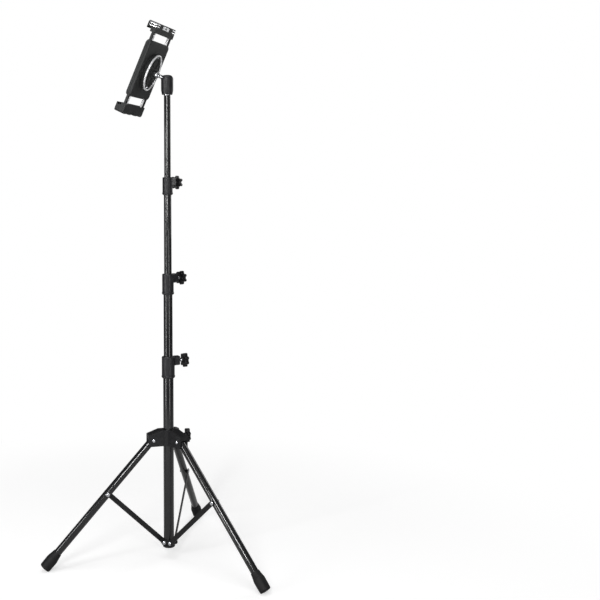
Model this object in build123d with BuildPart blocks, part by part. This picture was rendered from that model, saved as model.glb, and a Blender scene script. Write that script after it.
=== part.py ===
from build123d import *
import os
from math import atan2, cos, degrees, hypot, radians, sin

# Folding floor stand on three legs with a telescoping column, a ball head and a sprung
# tablet holder. Millimetres, +Z up, floor at z = 0, column axis on Z.

# Fits
seat_gap = 0.05
run_gap = 0.05
slide_gap = 0.3
face_gap = 0.3

# Telescoping tubes
outer_tube_r = 11.0
outer_tube_wall = 1.2
second_tube_wall = 1.2
third_tube_wall = 0.7
top_tube_wall = 1.0
outer_tube_bottom = 41.0
second_tube_bottom = 215.0
third_tube_bottom = 420.0
top_tube_bottom = 620.0
head_bottom = 985.3

# Clamp collars
lower_collar_bottom = 382.0
lower_collar_height = 45.5
middle_collar_bottom = 559.3
middle_collar_height = 44.0
upper_collar_bottom = 771.3
upper_collar_height = 37.7
collar_wall = 2.75
collar_seat_depth = 16.0
collar_ring_height = 3.0
collar_ring_lift = 2.0
collar_ring_proud = 0.7
collar_edge = 1.0
boss_height = 20.0
boss_width = 15.0
boss_corner = 4.0
boss_reach = 25.6
lower_knob_azimuth = 25.0
middle_knob_azimuth = 44.0
upper_knob_azimuth = 62.0

# Clamp knobs
thread_r = 3.0
pad_r = 3.6
pad_thickness = 3.0
clamp_travel = 1.0
knob_gap = 6.0
knob_r = 15.0
knob_thickness = 12.0
knob_lobes = 7
knob_lobe_r = 3.7
knob_flute_round = 1.6
knob_edge = 1.2
knob_neck_r = 6.0
knob_neck_length = 2.0
knob_dimple_r = 7.5
knob_dimple_depth = 1.0
knob_thread_depth = 8.0

# Tripod
leg_azimuths = {"back": 75.65, "left": 195.65, "right": 315.65}
leg_r = 8.0
leg_wall = 1.0
leg_angle = 42.85
leg_end_height = 5.715
leg_head = 8.6
leg_pivot_r = 34.8
leg_pivot_z = 252.6
brace_on_leg = 144.0
foot_r = 12.0
foot_length = 40.0
foot_bulge = 0.5
foot_round = 3.0
foot_cover = 6.0

# Brace strips
brace_foot_r = 12.5
brace_foot_z = 34.5
brace_width = 10.4
brace_thickness = 2.0
brace_offset = 8.8

# Rivets
rivet_r = 2.4
rivet_head_height = 1.5
rivet_dome = 0.9
leg_rivet_head_r = 4.4
hub_rivet_head_r = 3.5
lower_rivet_head_r = 4.0

# Lower hub
plug_length = 25.0
plug_bore_r = 4.0
lug_half_width = 8.5
lug_round = 5.3
flange_r = 12.8
flange_bottom = 23.3
flange_thickness = 4.7
flange_edge = 1.0

# Sliding hub
hub_bottom = 240.0
hub_height = 33.5
hub_r = 15.0
hub_arm_r = 45.8
hub_arm_top_r = 20.8
hub_arm_drop = 8.7
hub_web = 3.0
hub_flange = 3.0
hub_lip = 2.5
hub_lip_drop = 9.3
hub_edge = 1.0
hub_knob_azimuth = 15.65
hub_knob_z = 257.3
hub_boss_reach = 24.0
hub_boss_r = 8.5
hub_knob_gap = 12.2
hub_knob_thickness = 10.0

# Ball head
housing_r = 13.0
housing_height = 40.6
housing_base_r = 11.2
housing_base_taper = 9.0
housing_shoulder = 10.5
housing_mouth_r = 8.0
ball_r = 9.0
ball_below_top = 8.9
stud_r = 3.125
stud_reach = 8.0
plug_depth = 14.0
plug_flange = 2.0
seat_height = 12.0
stem_r = 4.0
stem_length = 24.0
stem_side_gap = 0.75
holder_tilt = 64.6
holder_azimuth = 154.1
wing_azimuth = 84.0
wing_below_ball = 15.0
wing_neck_r = 6.0
wing_neck_length = 5.0
wing_width = 12.0
wing_length = 34.0
wing_thickness = 9.0
wing_edge = 1.5
wing_thread_depth = 7.0

# Lock nut
nut_r = 7.0
nut_height = 13.0
nut_flats = 1.2

# Holder body
holder_back_depth = 6.0
holder_front_depth = 7.4
holder_half_width = 42.0
holder_top = 64.0
holder_foot = 62.0
holder_corner = 9.0
holder_edge = 2.0
grip_pad_thickness = 0.6
grip_pad_width = 12.0
grip_pad_length = 96.0
grip_pad_corner = 4.0
grip_pad_x = 27.0

# Dish and ring on the back of the holder; the boss face's distance is from the ball centre
dish_x = 25.8
dish_y = 40.6
dish_height = 6.0
plateau_proud = 1.3
ring_proud = 3.5
ring_width = 3.4
ring_edge = 1.2
recess_r = 13.0
recess_y = 19.5
recess_depth = 2.6
hub_boss_h = 37.4
hub_boss_proud = 2.6
hub_boss_round = 8.5
insert_r = 5.0
insert_depth = 12.0
screw_r = 1.5
screw_head_r = 2.6
screw_head_height = 1.4
screw_inset = 6.6
screw_length = 12.0

# Spring arms
rod_to_tongue = 6.8
rod_r = 2.5
rod_slide_gap = 0.1
arm_inner_y = 24.0
rod_jaw_depth = 8.0
tongue_inset = 3.7
tongue_width = 5.0
tongue_height = 5.0
spring_x = 18.0
spring_r = 3.0
spring_half_length = 30.0

# Jaws
jaw_back_inset = 1.0
jaw_front_inset = 0.2
jaw_hook_depth = 10.8
jaw_reach = 102.0
jaw_plate_depth = 22.0
upper_jaw_wall = 12.5
lower_jaw_wall = 15.5
lip_depth = 2.4
lip_reach = 4.0
claw_gap = 12.0
claw_corner = 5.0
jaw_pad = 1.0
jaw_pad_inset = 3.0
jaw_pad_height = 6.0
jaw_pad_lift = 0.8
bay_rim = 2.3
bay_rib = 1.7
bay_width = 30.0
bay_corner = 1.2
bay_depth = 2.2
corner_bay_start = 28.0
trim_thickness = 1.6
notch_depth = 6.0
scallop_r = 7.0
scallop_depth = 1.6

# Sizes that follow from the ones above
second_tube_r = outer_tube_r - outer_tube_wall - slide_gap
third_tube_r = second_tube_r - second_tube_wall - slide_gap
top_tube_r = third_tube_r - third_tube_wall - slide_gap
ball_z = head_bottom + housing_height - ball_below_top
leg_fold_angle = radians(leg_angle)
leg_length = (leg_pivot_z - leg_end_height) / cos(leg_fold_angle)
joint_r = leg_pivot_r + brace_on_leg * sin(leg_fold_angle)
joint_z = leg_pivot_z - brace_on_leg * cos(leg_fold_angle)
brace_length = hypot(joint_r - brace_foot_r, joint_z - brace_foot_z)
brace_angle = atan2(joint_r - brace_foot_r, joint_z - brace_foot_z)
tilt = radians(holder_tilt)
swing = radians(holder_azimuth)
stem_dir = Vector(sin(tilt) * cos(swing), sin(tilt) * sin(swing), cos(tilt))
across_dir = Vector(-sin(swing), cos(swing), 0)
ball_centre = Vector(0, 0, ball_z)
dish_face_h = hub_boss_h + hub_boss_proud
plateau_h = dish_face_h - plateau_proud
ring_face_h = dish_face_h - ring_proud
holder_back_h = dish_face_h + dish_height
holder_split_h = holder_back_h + holder_back_depth
holder_front_h = holder_split_h + holder_front_depth
screw_y = dish_y - screw_inset
tongue_x = holder_half_width - tongue_inset
rod_x = tongue_x - rod_to_tongue
jaw_back_h = holder_back_h + jaw_back_inset
jaw_plate_h = holder_front_h - jaw_front_inset
jaw_front_h = jaw_plate_h + jaw_hook_depth
jaw_plate_y = jaw_reach - jaw_plate_depth
upper_jaw_y = jaw_reach - upper_jaw_wall
lower_jaw_y = jaw_reach - lower_jaw_wall
claw_width = holder_half_width - claw_gap / 2
claw_x = (claw_gap + claw_width) / 2


def side_plane(azimuth, offset=0.0):
    """Upright plane at an azimuth: x runs outward, y up and z clockwise seen from above."""
    a = radians(azimuth)
    return Plane(
        origin=(offset * sin(a), -offset * cos(a), 0),
        x_dir=(cos(a), sin(a), 0),
        z_dir=(sin(a), -cos(a), 0),
    )


def facing_plane(azimuth, height, distance=0.0):
    """Upright plane that faces outward at an azimuth: x runs sideways and y up."""
    a = radians(azimuth)
    return Plane(
        origin=(distance * cos(a), distance * sin(a), height),
        x_dir=(-sin(a), cos(a), 0),
        z_dir=(cos(a), sin(a), 0),
    )


def holder_plane(h):
    """Plane square to the ball stem at distance h from the ball centre: y runs up the holder."""
    return Plane(origin=ball_centre + stem_dir * h, x_dir=across_dir, z_dir=stem_dir)


def holder_end_plane(y, h=0.0):
    """Plane that faces up the holder at height y on it: x runs across and y along the stem."""
    base = holder_plane(h)
    return Plane(origin=base.origin + base.y_dir * y, x_dir=-base.x_dir, z_dir=base.y_dir)


def leg_plane(azimuth, along):
    """Plane square to a leg at a distance below its pivot, facing the foot."""
    a = radians(azimuth)
    r = leg_pivot_r + along * sin(leg_fold_angle)
    z = leg_pivot_z - along * cos(leg_fold_angle)
    return Plane(
        origin=(r * cos(a), r * sin(a), z),
        x_dir=(sin(a), -cos(a), 0),
        z_dir=(sin(leg_fold_angle) * cos(a), sin(leg_fold_angle) * sin(a), -cos(leg_fold_angle)),
    )


def rivet_head(plane, radius, height, dome, flip=False):
    """Domed rivet head that stands on a plane, as a cylinder with a rounded rim."""
    base = Plane(origin=plane.origin, x_dir=plane.x_dir, z_dir=-plane.z_dir if flip else plane.z_dir)
    with BuildPart() as head:
        with BuildSketch(base):
            Circle(radius)
        extrude(amount=height)
        rim = head.edges().filter_by(GeomType.CIRCLE).sort_by(Axis(base.origin, base.z_dir))[-1]
        fillet(rim, dome)
    return head.part


def tube(bottom, top, radius, wall):
    """Round tube on the column axis."""
    with BuildPart() as pipe:
        with BuildSketch(Plane.XY.offset(bottom)):
            Circle(radius)
            Circle(radius - wall, mode=Mode.SUBTRACT)
        extrude(amount=top - bottom)
    return pipe.part


def clamp_collar(bottom, height, carried_r, passing_r, azimuth):
    """Moulded collar that sits on the end of one tube and clamps the next one."""
    top = bottom + height
    body_r = carried_r + collar_wall
    screw_z = top - boss_height / 2
    with BuildPart() as collar:
        with BuildSketch(Plane.XY.offset(bottom)):
            Circle(body_r)
        extrude(amount=height)
        ends = collar.edges().filter_by(GeomType.CIRCLE).sort_by(Axis.Z)
        chamfer([ends[0], ends[-1]], collar_edge)
        with BuildSketch(Plane.XY.offset(bottom + collar_ring_lift)):
            Circle(body_r + collar_ring_proud)
        extrude(amount=collar_ring_height)
        with BuildSketch(facing_plane(azimuth, screw_z)):
            RectangleRounded(boss_width, boss_height, boss_corner)
        extrude(amount=boss_reach)
        with BuildSketch(Plane.XY.offset(bottom)):
            Circle(carried_r + seat_gap)
        extrude(amount=height - collar_seat_depth, mode=Mode.SUBTRACT)
        with BuildSketch(Plane.XY.offset(bottom)):
            Circle(passing_r + slide_gap)
        extrude(amount=height, mode=Mode.SUBTRACT)
        with BuildSketch(facing_plane(azimuth, screw_z)):
            Circle(thread_r + run_gap)
        extrude(amount=boss_reach, mode=Mode.SUBTRACT)
        with BuildSketch(facing_plane(azimuth, screw_z)):
            Circle(pad_r + seat_gap)
        extrude(amount=passing_r + pad_thickness + clamp_travel + slide_gap, mode=Mode.SUBTRACT)
    return collar.part


def clamp_pad(azimuth, height, tube_r):
    """Round pad at the tip of a clamp screw."""
    with BuildPart() as pad:
        with BuildSketch(facing_plane(azimuth, height, tube_r + seat_gap)):
            Circle(pad_r)
        extrude(amount=pad_thickness)
    return pad.part


def clamp_screw(azimuth, height, tube_r, knob_start):
    """Threaded rod from the pad into the knob."""
    start = tube_r + seat_gap + pad_thickness + seat_gap
    with BuildPart() as screw:
        with BuildSketch(facing_plane(azimuth, height, start)):
            Circle(thread_r)
        extrude(amount=knob_start + knob_neck_length + knob_thread_depth - start)
    return screw.part


def star_knob(azimuth, height, knob_start, thickness):
    """Knob with lobes round its rim, a neck towards the clamp and a shallow dimple."""
    face = facing_plane(azimuth, height, knob_start + knob_neck_length)
    with BuildPart() as knob:
        with BuildSketch(face):
            Circle(knob_r - knob_lobe_r)
            with PolarLocations(knob_r - knob_lobe_r, knob_lobes):
                Circle(knob_lobe_r)
            fillet(vertices(), knob_flute_round)
        extrude(amount=thickness - knob_neck_length)
        outward = Axis(face.origin, face.z_dir)
        fillet(faces().sort_by(outward)[-1].edges(), knob_edge)
        with BuildSketch(facing_plane(azimuth, height, knob_start)):
            Circle(knob_neck_r)
        extrude(amount=knob_neck_length)
        with BuildSketch(facing_plane(azimuth, height, knob_start + thickness)):
            Circle(knob_dimple_r)
        extrude(amount=-knob_dimple_depth, mode=Mode.SUBTRACT)
        with BuildSketch(facing_plane(azimuth, height, knob_start)):
            Circle(thread_r + seat_gap)
        extrude(amount=knob_neck_length + knob_thread_depth + seat_gap, mode=Mode.SUBTRACT)
    return knob.part


def save(piece, name):
    """Label one piece and write it as its own STEP file."""
    piece.label = name
    export_step(piece, f"parts/{name}.step")


os.makedirs("parts", exist_ok=True)

# Column tubes
save(tube(outer_tube_bottom, lower_collar_bottom + lower_collar_height - collar_seat_depth,
          outer_tube_r, outer_tube_wall), "outer_tube")
save(tube(second_tube_bottom, middle_collar_bottom + middle_collar_height - collar_seat_depth,
          second_tube_r, second_tube_wall), "second_tube")
save(tube(third_tube_bottom, upper_collar_bottom + upper_collar_height - collar_seat_depth,
          third_tube_r, third_tube_wall), "third_tube")
save(tube(top_tube_bottom, head_bottom - face_gap - plug_flange, top_tube_r, top_tube_wall),
     "top_tube")

# Clamp collars with their pads, screws and knobs
collars = {
    "lower": (lower_collar_bottom, lower_collar_height, outer_tube_r, second_tube_r,
              lower_knob_azimuth),
    "middle": (middle_collar_bottom, middle_collar_height, second_tube_r, third_tube_r,
               middle_knob_azimuth),
    "upper": (upper_collar_bottom, upper_collar_height, third_tube_r, top_tube_r,
              upper_knob_azimuth),
}
for name, (bottom, height, carried_r, passing_r, azimuth) in collars.items():
    knob_z = bottom + height - boss_height / 2
    knob_start = boss_reach + knob_gap
    save(clamp_collar(bottom, height, carried_r, passing_r, azimuth), f"{name}_collar")
    save(clamp_pad(azimuth, knob_z, passing_r), f"{name}_pad")
    save(clamp_screw(azimuth, knob_z, passing_r, knob_start), f"{name}_screw")
    save(star_knob(azimuth, knob_z, knob_start, knob_thickness), f"{name}_knob")

# Lower hub: a plug in the outer tube, three lugs for the braces and a bottom flange
flange_top = flange_bottom + flange_thickness
with BuildPart() as lower_hub:
    with BuildSketch(Plane.XY.offset(flange_bottom)):
        Circle(flange_r)
    extrude(amount=flange_thickness)
    chamfer(edges().filter_by(GeomType.CIRCLE).sort_by(Axis.Z)[0], flange_edge)
    with BuildSketch(Plane.XY.offset(flange_top)):
        Circle(outer_tube_r)
    extrude(amount=outer_tube_bottom - flange_top)
    with BuildSketch(Plane.XY.offset(outer_tube_bottom)):
        Circle(outer_tube_r - outer_tube_wall - seat_gap)
    extrude(amount=plug_length)
    for azimuth in leg_azimuths.values():
        with BuildSketch(side_plane(azimuth, -lug_half_width)):
            with Locations((brace_foot_r, brace_foot_z)):
                Circle(lug_round)
            with BuildLine():
                Polyline(
                    (0, brace_foot_z - lug_round),
                    (brace_foot_r, brace_foot_z - lug_round),
                    (brace_foot_r, brace_foot_z + lug_round),
                    (0, brace_foot_z + lug_round),
                    close=True,
                )
            make_face()
        extrude(amount=2 * lug_half_width)
    with BuildSketch(Plane.XY.offset(flange_bottom)):
        Circle(plug_bore_r)
    extrude(amount=flange_thickness + outer_tube_bottom + plug_length, mode=Mode.SUBTRACT)
    for azimuth in leg_azimuths.values():
        with BuildSketch(side_plane(azimuth, -lug_half_width)):
            with Locations((brace_foot_r, brace_foot_z)):
                Circle(rivet_r + seat_gap)
        extrude(amount=2 * lug_half_width, mode=Mode.SUBTRACT)
lower_hub.part.label = "lower_hub"
export_step(lower_hub.part, "parts/lower_hub.step")

# Brace rivets in the lower hub: the shank passes the lug and the strip's eye
strip_outer = brace_offset + brace_thickness
with BuildPart() as lower_rivets:
    for azimuth in leg_azimuths.values():
        inner = side_plane(azimuth, -lug_half_width)
        outer = side_plane(azimuth, strip_outer + run_gap)
        with BuildSketch(inner):
            with Locations((brace_foot_r, brace_foot_z)):
                Circle(rivet_r)
        extrude(amount=lug_half_width + strip_outer + run_gap)
        for base, turned in ((inner, True), (outer, False)):
            spot = Plane(
                origin=base.from_local_coords(Vector(brace_foot_r, brace_foot_z, 0)),
                x_dir=base.x_dir,
                z_dir=base.z_dir,
            )
            add(rivet_head(spot, lower_rivet_head_r, rivet_head_height, rivet_dome, turned))
lower_rivets.part.label = "lower_rivets"
export_step(lower_rivets.part, "parts/lower_rivets.step")

# Sliding hub: a sleeve with three channel-shaped arms and a clamp boss
hub_top = hub_bottom + hub_height
arm_inner = leg_r + face_gap
arm_outer = arm_inner + hub_flange
lip_share = (hub_arm_r - hub_lip - hub_arm_top_r) / (hub_arm_r - hub_arm_top_r)
lip_top = hub_top - hub_web - hub_arm_drop * lip_share
with BuildPart() as leg_hub:
    with BuildSketch(Plane.XY.offset(hub_bottom)):
        Circle(hub_r)
    extrude(amount=hub_height)
    chamfer(edges().filter_by(GeomType.CIRCLE), hub_edge)
    for azimuth in leg_azimuths.values():
        with BuildSketch(side_plane(azimuth, -arm_outer)):
            with BuildLine():
                Polyline(
                    (0, hub_bottom),
                    (hub_arm_r, hub_bottom),
                    (hub_arm_r, hub_top - hub_arm_drop),
                    (hub_arm_top_r, hub_top),
                    (0, hub_top),
                    close=True,
                )
            make_face()
        extrude(amount=2 * arm_outer)
    for azimuth in leg_azimuths.values():
        with BuildSketch(side_plane(azimuth, -arm_inner)):
            with BuildLine():
                Polyline(
                    (hub_r, hub_bottom - hub_edge),
                    (hub_arm_r + hub_edge, hub_bottom - hub_edge),
                    (hub_arm_r + hub_edge, hub_top - hub_arm_drop - hub_lip_drop),
                    (hub_arm_r - hub_lip, hub_top - hub_arm_drop - hub_lip_drop),
                    (hub_arm_r - hub_lip, lip_top),
                    (hub_arm_top_r, hub_top - hub_web),
                    (hub_r, hub_top - hub_web),
                    close=True,
                )
            make_face()
        extrude(amount=2 * arm_inner, mode=Mode.SUBTRACT)
    with BuildSketch(facing_plane(hub_knob_azimuth, hub_knob_z)):
        Circle(hub_boss_r)
    extrude(amount=hub_boss_reach)
    with BuildSketch(Plane.XY.offset(hub_bottom)):
        Circle(outer_tube_r + slide_gap)
    extrude(amount=hub_height, mode=Mode.SUBTRACT)
    with BuildSketch(facing_plane(hub_knob_azimuth, hub_knob_z)):
        Circle(thread_r + run_gap)
    extrude(amount=hub_boss_reach, mode=Mode.SUBTRACT)
    with BuildSketch(facing_plane(hub_knob_azimuth, hub_knob_z)):
        Circle(pad_r + seat_gap)
    extrude(amount=outer_tube_r + pad_thickness + clamp_travel + slide_gap, mode=Mode.SUBTRACT)
    for azimuth in leg_azimuths.values():
        with BuildSketch(side_plane(azimuth, -arm_outer)):
            with Locations((leg_pivot_r, leg_pivot_z)):
                Circle(rivet_r + seat_gap)
        extrude(amount=2 * arm_outer, mode=Mode.SUBTRACT)
leg_hub.part.label = "leg_hub"
export_step(leg_hub.part, "parts/leg_hub.step")

# Leg rivets in the sliding hub
with BuildPart() as hub_rivets:
    for azimuth in leg_azimuths.values():
        inner = side_plane(azimuth, -arm_outer)
        outer = side_plane(azimuth, arm_outer)
        with BuildSketch(inner):
            with Locations((leg_pivot_r, leg_pivot_z)):
                Circle(rivet_r)
        extrude(amount=2 * arm_outer)
        for base, turned in ((inner, True), (outer, False)):
            spot = Plane(
                origin=base.from_local_coords(Vector(leg_pivot_r, leg_pivot_z, 0)),
                x_dir=base.x_dir,
                z_dir=base.z_dir,
            )
            add(rivet_head(spot, hub_rivet_head_r, rivet_head_height, rivet_dome, turned))
hub_rivets.part.label = "hub_rivets"
export_step(hub_rivets.part, "parts/hub_rivets.step")

# Clamp set of the sliding hub
hub_knob_start = hub_boss_reach + hub_knob_gap
save(clamp_pad(hub_knob_azimuth, hub_knob_z, outer_tube_r), "hub_pad")
save(clamp_screw(hub_knob_azimuth, hub_knob_z, outer_tube_r, hub_knob_start), "hub_screw")
save(star_knob(hub_knob_azimuth, hub_knob_z, hub_knob_start, hub_knob_thickness), "hub_knob")

# Legs, feet, braces and the rivets between them
for name, azimuth in leg_azimuths.items():
    with BuildPart() as leg:
        with BuildSketch(leg_plane(azimuth, -leg_head)):
            Circle(leg_r)
            Circle(leg_r - leg_wall, mode=Mode.SUBTRACT)
        extrude(amount=leg_head + leg_length - foot_cover)
        with BuildSketch(side_plane(azimuth, -leg_r)):
            with Locations((leg_pivot_r, leg_pivot_z), (joint_r, joint_z)):
                Circle(rivet_r + run_gap)
        extrude(amount=2 * leg_r, mode=Mode.SUBTRACT)
    save(leg.part, f"leg_{name}")

    end = leg_plane(azimuth, leg_length)
    with BuildPart() as foot:
        with BuildSketch(Plane(origin=end.origin, x_dir=end.z_dir, z_dir=end.x_dir)):
            with BuildLine():
                Polyline((-foot_length, 0), (0, 0), (0, foot_r - foot_round))
                RadiusArc((0, foot_r - foot_round), (-foot_round, foot_r), -foot_round)
                ThreePointArc(
                    (-foot_round, foot_r),
                    (-foot_length / 2, foot_r + foot_bulge),
                    (-foot_length, foot_r - foot_bulge),
                )
                Line((-foot_length, foot_r - foot_bulge), (-foot_length, 0))
            make_face()
        revolve(axis=Axis(end.origin, end.z_dir))
        with BuildSketch(leg_plane(azimuth, leg_length - foot_cover + seat_gap)):
            Circle(leg_r + seat_gap)
        extrude(amount=-foot_length, mode=Mode.SUBTRACT)
        with BuildSketch(Plane(origin=(end.origin.X, end.origin.Y, 0))):
            Rectangle(2 * foot_length, 2 * foot_length)
        extrude(amount=-foot_length, mode=Mode.SUBTRACT)
    save(foot.part, f"foot_{name}")

    joint_inner = side_plane(azimuth, -leg_r)
    head_spot = Plane(
        origin=joint_inner.from_local_coords(Vector(joint_r, joint_z, 0)),
        x_dir=joint_inner.x_dir,
        z_dir=joint_inner.z_dir,
    )
    with BuildPart() as leg_rivet:
        with BuildSketch(head_spot):
            Circle(rivet_r)
        extrude(amount=2 * leg_r)
        add(rivet_head(head_spot, leg_rivet_head_r, rivet_head_height, rivet_dome, True))
    save(leg_rivet.part, f"leg_rivet_{name}")

    with BuildPart() as brace:
        foot_point = (brace_foot_r, brace_foot_z)
        joint_point = (joint_r, joint_z)
        half = brace_width / 2
        with BuildSketch(side_plane(azimuth, brace_offset)):
            with Locations(foot_point, joint_point):
                Circle(half)
            with Locations(((foot_point[0] + joint_point[0]) / 2,
                            (foot_point[1] + joint_point[1]) / 2)):
                Rectangle(brace_width, brace_length, rotation=-degrees(brace_angle))
            with Locations(foot_point):
                Circle(rivet_r + run_gap, mode=Mode.SUBTRACT)
            with Locations(joint_point):
                Circle(rivet_r + seat_gap, mode=Mode.SUBTRACT)
        extrude(amount=brace_thickness)
    save(brace.part, f"brace_{name}")

    strip_plane = side_plane(azimuth, strip_outer)
    brace_spot = Plane(
        origin=strip_plane.from_local_coords(Vector(joint_r, joint_z, 0)),
        x_dir=strip_plane.x_dir,
        z_dir=strip_plane.z_dir,
    )
    with BuildPart() as brace_rivet:
        with BuildSketch(brace_spot):
            Circle(rivet_r)
        extrude(amount=-brace_thickness)
        add(rivet_head(brace_spot, leg_rivet_head_r, rivet_head_height, rivet_dome))
    save(brace_rivet.part, f"brace_rivet_{name}")

# Stud that joins the top tube to the ball head
stud_base = head_bottom - face_gap
with BuildPart() as head_stud:
    with BuildSketch(Plane.XY.offset(stud_base - plug_flange)):
        Circle(top_tube_r)
    extrude(amount=plug_flange)
    with BuildSketch(Plane.XY.offset(stud_base - plug_flange)):
        Circle(top_tube_r - top_tube_wall - seat_gap)
    extrude(amount=-plug_depth)
    with BuildSketch(Plane.XY.offset(stud_base)):
        Circle(stud_r)
    extrude(amount=stud_reach)
head_stud.part.label = "head_stud"
export_step(head_stud.part, "parts/head_stud.step")

# Ball housing: a domed barrel with a round mouth and one slot for the stem
housing_top = head_bottom + housing_height
socket_r = ball_r + slide_gap
seat_bottom = head_bottom + stud_reach + seat_gap
wing_z = ball_z - wing_below_ball
slot_half = stem_r + stem_side_gap
with BuildPart() as head_housing:
    with BuildSketch(Plane.XZ):
        with BuildLine():
            Polyline(
                (0, head_bottom),
                (housing_base_r, head_bottom),
                (housing_r, head_bottom + housing_base_taper),
                (housing_r, housing_top - housing_shoulder),
            )
            ThreePointArc(
                (housing_r, housing_top - housing_shoulder),
                (housing_r - (housing_r - housing_mouth_r) * (1 - cos(radians(45))),
                 housing_top - housing_shoulder * (1 - sin(radians(45)))),
                (housing_mouth_r, housing_top),
            )
            Polyline((housing_mouth_r, housing_top), (0, housing_top), (0, head_bottom))
        make_face()
    revolve(axis=Axis.Z)
    with BuildSketch(Plane.XY.offset(seat_bottom)):
        Circle(socket_r)
    extrude(amount=ball_z - seat_bottom, mode=Mode.SUBTRACT)
    with Locations(ball_centre):
        Sphere(socket_r, mode=Mode.SUBTRACT)
    with BuildSketch(Plane.XY.offset(ball_z)):
        Circle(housing_mouth_r)
    extrude(amount=housing_height, mode=Mode.SUBTRACT)
    with BuildSketch(facing_plane(holder_azimuth, ball_z)):
        Circle(slot_half)
        with Locations((0, housing_height / 2)):
            Rectangle(2 * slot_half, housing_height)
    extrude(amount=housing_r + face_gap, mode=Mode.SUBTRACT)
    with BuildSketch(Plane.XY.offset(head_bottom)):
        Circle(stud_r + run_gap)
    extrude(amount=stud_reach + seat_gap, mode=Mode.SUBTRACT)
    with BuildSketch(facing_plane(wing_azimuth, wing_z)):
        Circle(thread_r + run_gap)
    extrude(amount=housing_r + face_gap, mode=Mode.SUBTRACT)
head_housing.part.label = "head_housing"
export_step(head_housing.part, "parts/head_housing.step")

# Seat under the ball, pushed by the wing screw
with BuildPart() as ball_seat:
    with BuildSketch(Plane.XY.offset(seat_bottom)):
        Circle(socket_r - seat_gap)
    extrude(amount=seat_height + ball_r)
    with Locations(ball_centre):
        Sphere(socket_r, mode=Mode.SUBTRACT)
    with BuildSketch(Plane.XY.offset(seat_bottom + seat_height + seat_gap)):
        Circle(socket_r + seat_gap)
    extrude(amount=housing_height, mode=Mode.SUBTRACT)
ball_seat.part.label = "ball_seat"
export_step(ball_seat.part, "parts/ball_seat.step")

# Wing knob of the ball head
wing_start = housing_r + wing_neck_length
with BuildPart() as head_knob:
    with BuildSketch(facing_plane(wing_azimuth, wing_z, housing_r + face_gap)):
        Circle(wing_neck_r)
    extrude(amount=wing_neck_length - face_gap)
    with BuildSketch(facing_plane(wing_azimuth, wing_z, wing_start)):
        SlotOverall(wing_length, wing_width, rotation=90)
        Circle(wing_neck_r + wing_edge)
    extrude(amount=wing_thickness)
    wing_out = Axis(facing_plane(wing_azimuth, wing_z).origin, facing_plane(wing_azimuth, 0).z_dir)
    fillet(faces().sort_by(wing_out)[-1].edges(), wing_edge)
    with BuildSketch(facing_plane(wing_azimuth, wing_z, housing_r)):
        Circle(thread_r + seat_gap)
    extrude(amount=wing_neck_length + wing_thread_depth + seat_gap, mode=Mode.SUBTRACT)
head_knob.part.label = "head_knob"
export_step(head_knob.part, "parts/head_knob.step")

with BuildPart() as head_knob_screw:
    with BuildSketch(facing_plane(wing_azimuth, wing_z, socket_r + seat_gap)):
        Circle(thread_r)
    extrude(amount=wing_start + wing_thread_depth - socket_r - seat_gap)
head_knob_screw.part.label = "head_knob_screw"
export_step(head_knob_screw.part, "parts/head_knob_screw.step")

# Ball with its stem and threaded end
insert_top_h = hub_boss_h + insert_depth
with BuildPart() as ball_stem:
    with Locations(ball_centre):
        Sphere(ball_r)
    with BuildSketch(holder_plane(0)):
        Circle(stem_r)
    extrude(amount=stem_length)
    with BuildSketch(holder_plane(stem_length)):
        Circle(stud_r)
    extrude(amount=insert_top_h - seat_gap - stem_length)
ball_stem.part.label = "ball_stem"
export_step(ball_stem.part, "parts/ball_stem.step")

# Lock nut between the stem and the holder
nut_h = hub_boss_h - face_gap - nut_height
with BuildPart() as lock_nut:
    with BuildSketch(holder_plane(nut_h)):
        Circle(nut_r)
    extrude(amount=nut_height)
    chamfer(edges().filter_by(GeomType.CIRCLE), nut_flats)
    with BuildSketch(holder_plane(nut_h)):
        Circle(stud_r + run_gap)
    extrude(amount=nut_height, mode=Mode.SUBTRACT)
lock_nut.part.label = "lock_nut"
export_step(lock_nut.part, "parts/lock_nut.step")

# Holder body in two shells, with round and square channels for the arms between them
body_length = holder_top + holder_foot
body_mid = (holder_top - holder_foot) / 2


def holder_shell(start_h, end_h, edge_side):
    """One half of the holder body with its share of the channels."""
    rod_h = holder_split_h
    with BuildPart() as shell:
        with BuildSketch(holder_plane(start_h)):
            with Locations((0, body_mid)):
                RectangleRounded(2 * holder_half_width, body_length, holder_corner)
        extrude(amount=end_h - start_h)
        along = Axis(holder_plane(0).origin, stem_dir)
        fillet(faces().sort_by(along)[edge_side].edges(), holder_edge)
        for side in (-1, 1):
            with BuildSketch(holder_end_plane(-holder_foot - face_gap, rod_h)):
                with Locations((side * rod_x, 0)):
                    Circle(rod_r + rod_slide_gap)
                with Locations((side * tongue_x, 0)):
                    Rectangle(tongue_width + 2 * slide_gap, tongue_height + 2 * slide_gap)
            extrude(amount=body_length + 2 * face_gap, mode=Mode.SUBTRACT)
            with BuildSketch(holder_end_plane(-spring_half_length, rod_h)):
                with Locations((side * spring_x, 0)):
                    Circle(spring_r + slide_gap)
            extrude(amount=2 * spring_half_length, mode=Mode.SUBTRACT)
        with BuildSketch(holder_plane(hub_boss_h)):
            Circle(insert_r + seat_gap)
        extrude(amount=insert_depth + seat_gap, mode=Mode.SUBTRACT)
        with BuildSketch(holder_plane(plateau_h)):
            with Locations((0, screw_y), (0, -screw_y)):
                Circle(screw_r + seat_gap)
        extrude(amount=screw_head_height + screw_length + seat_gap, mode=Mode.SUBTRACT)
    return shell.part


save(holder_shell(holder_back_h, holder_split_h, 0), "holder_back")
save(holder_shell(holder_split_h, holder_front_h, -1), "holder_front")

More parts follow.
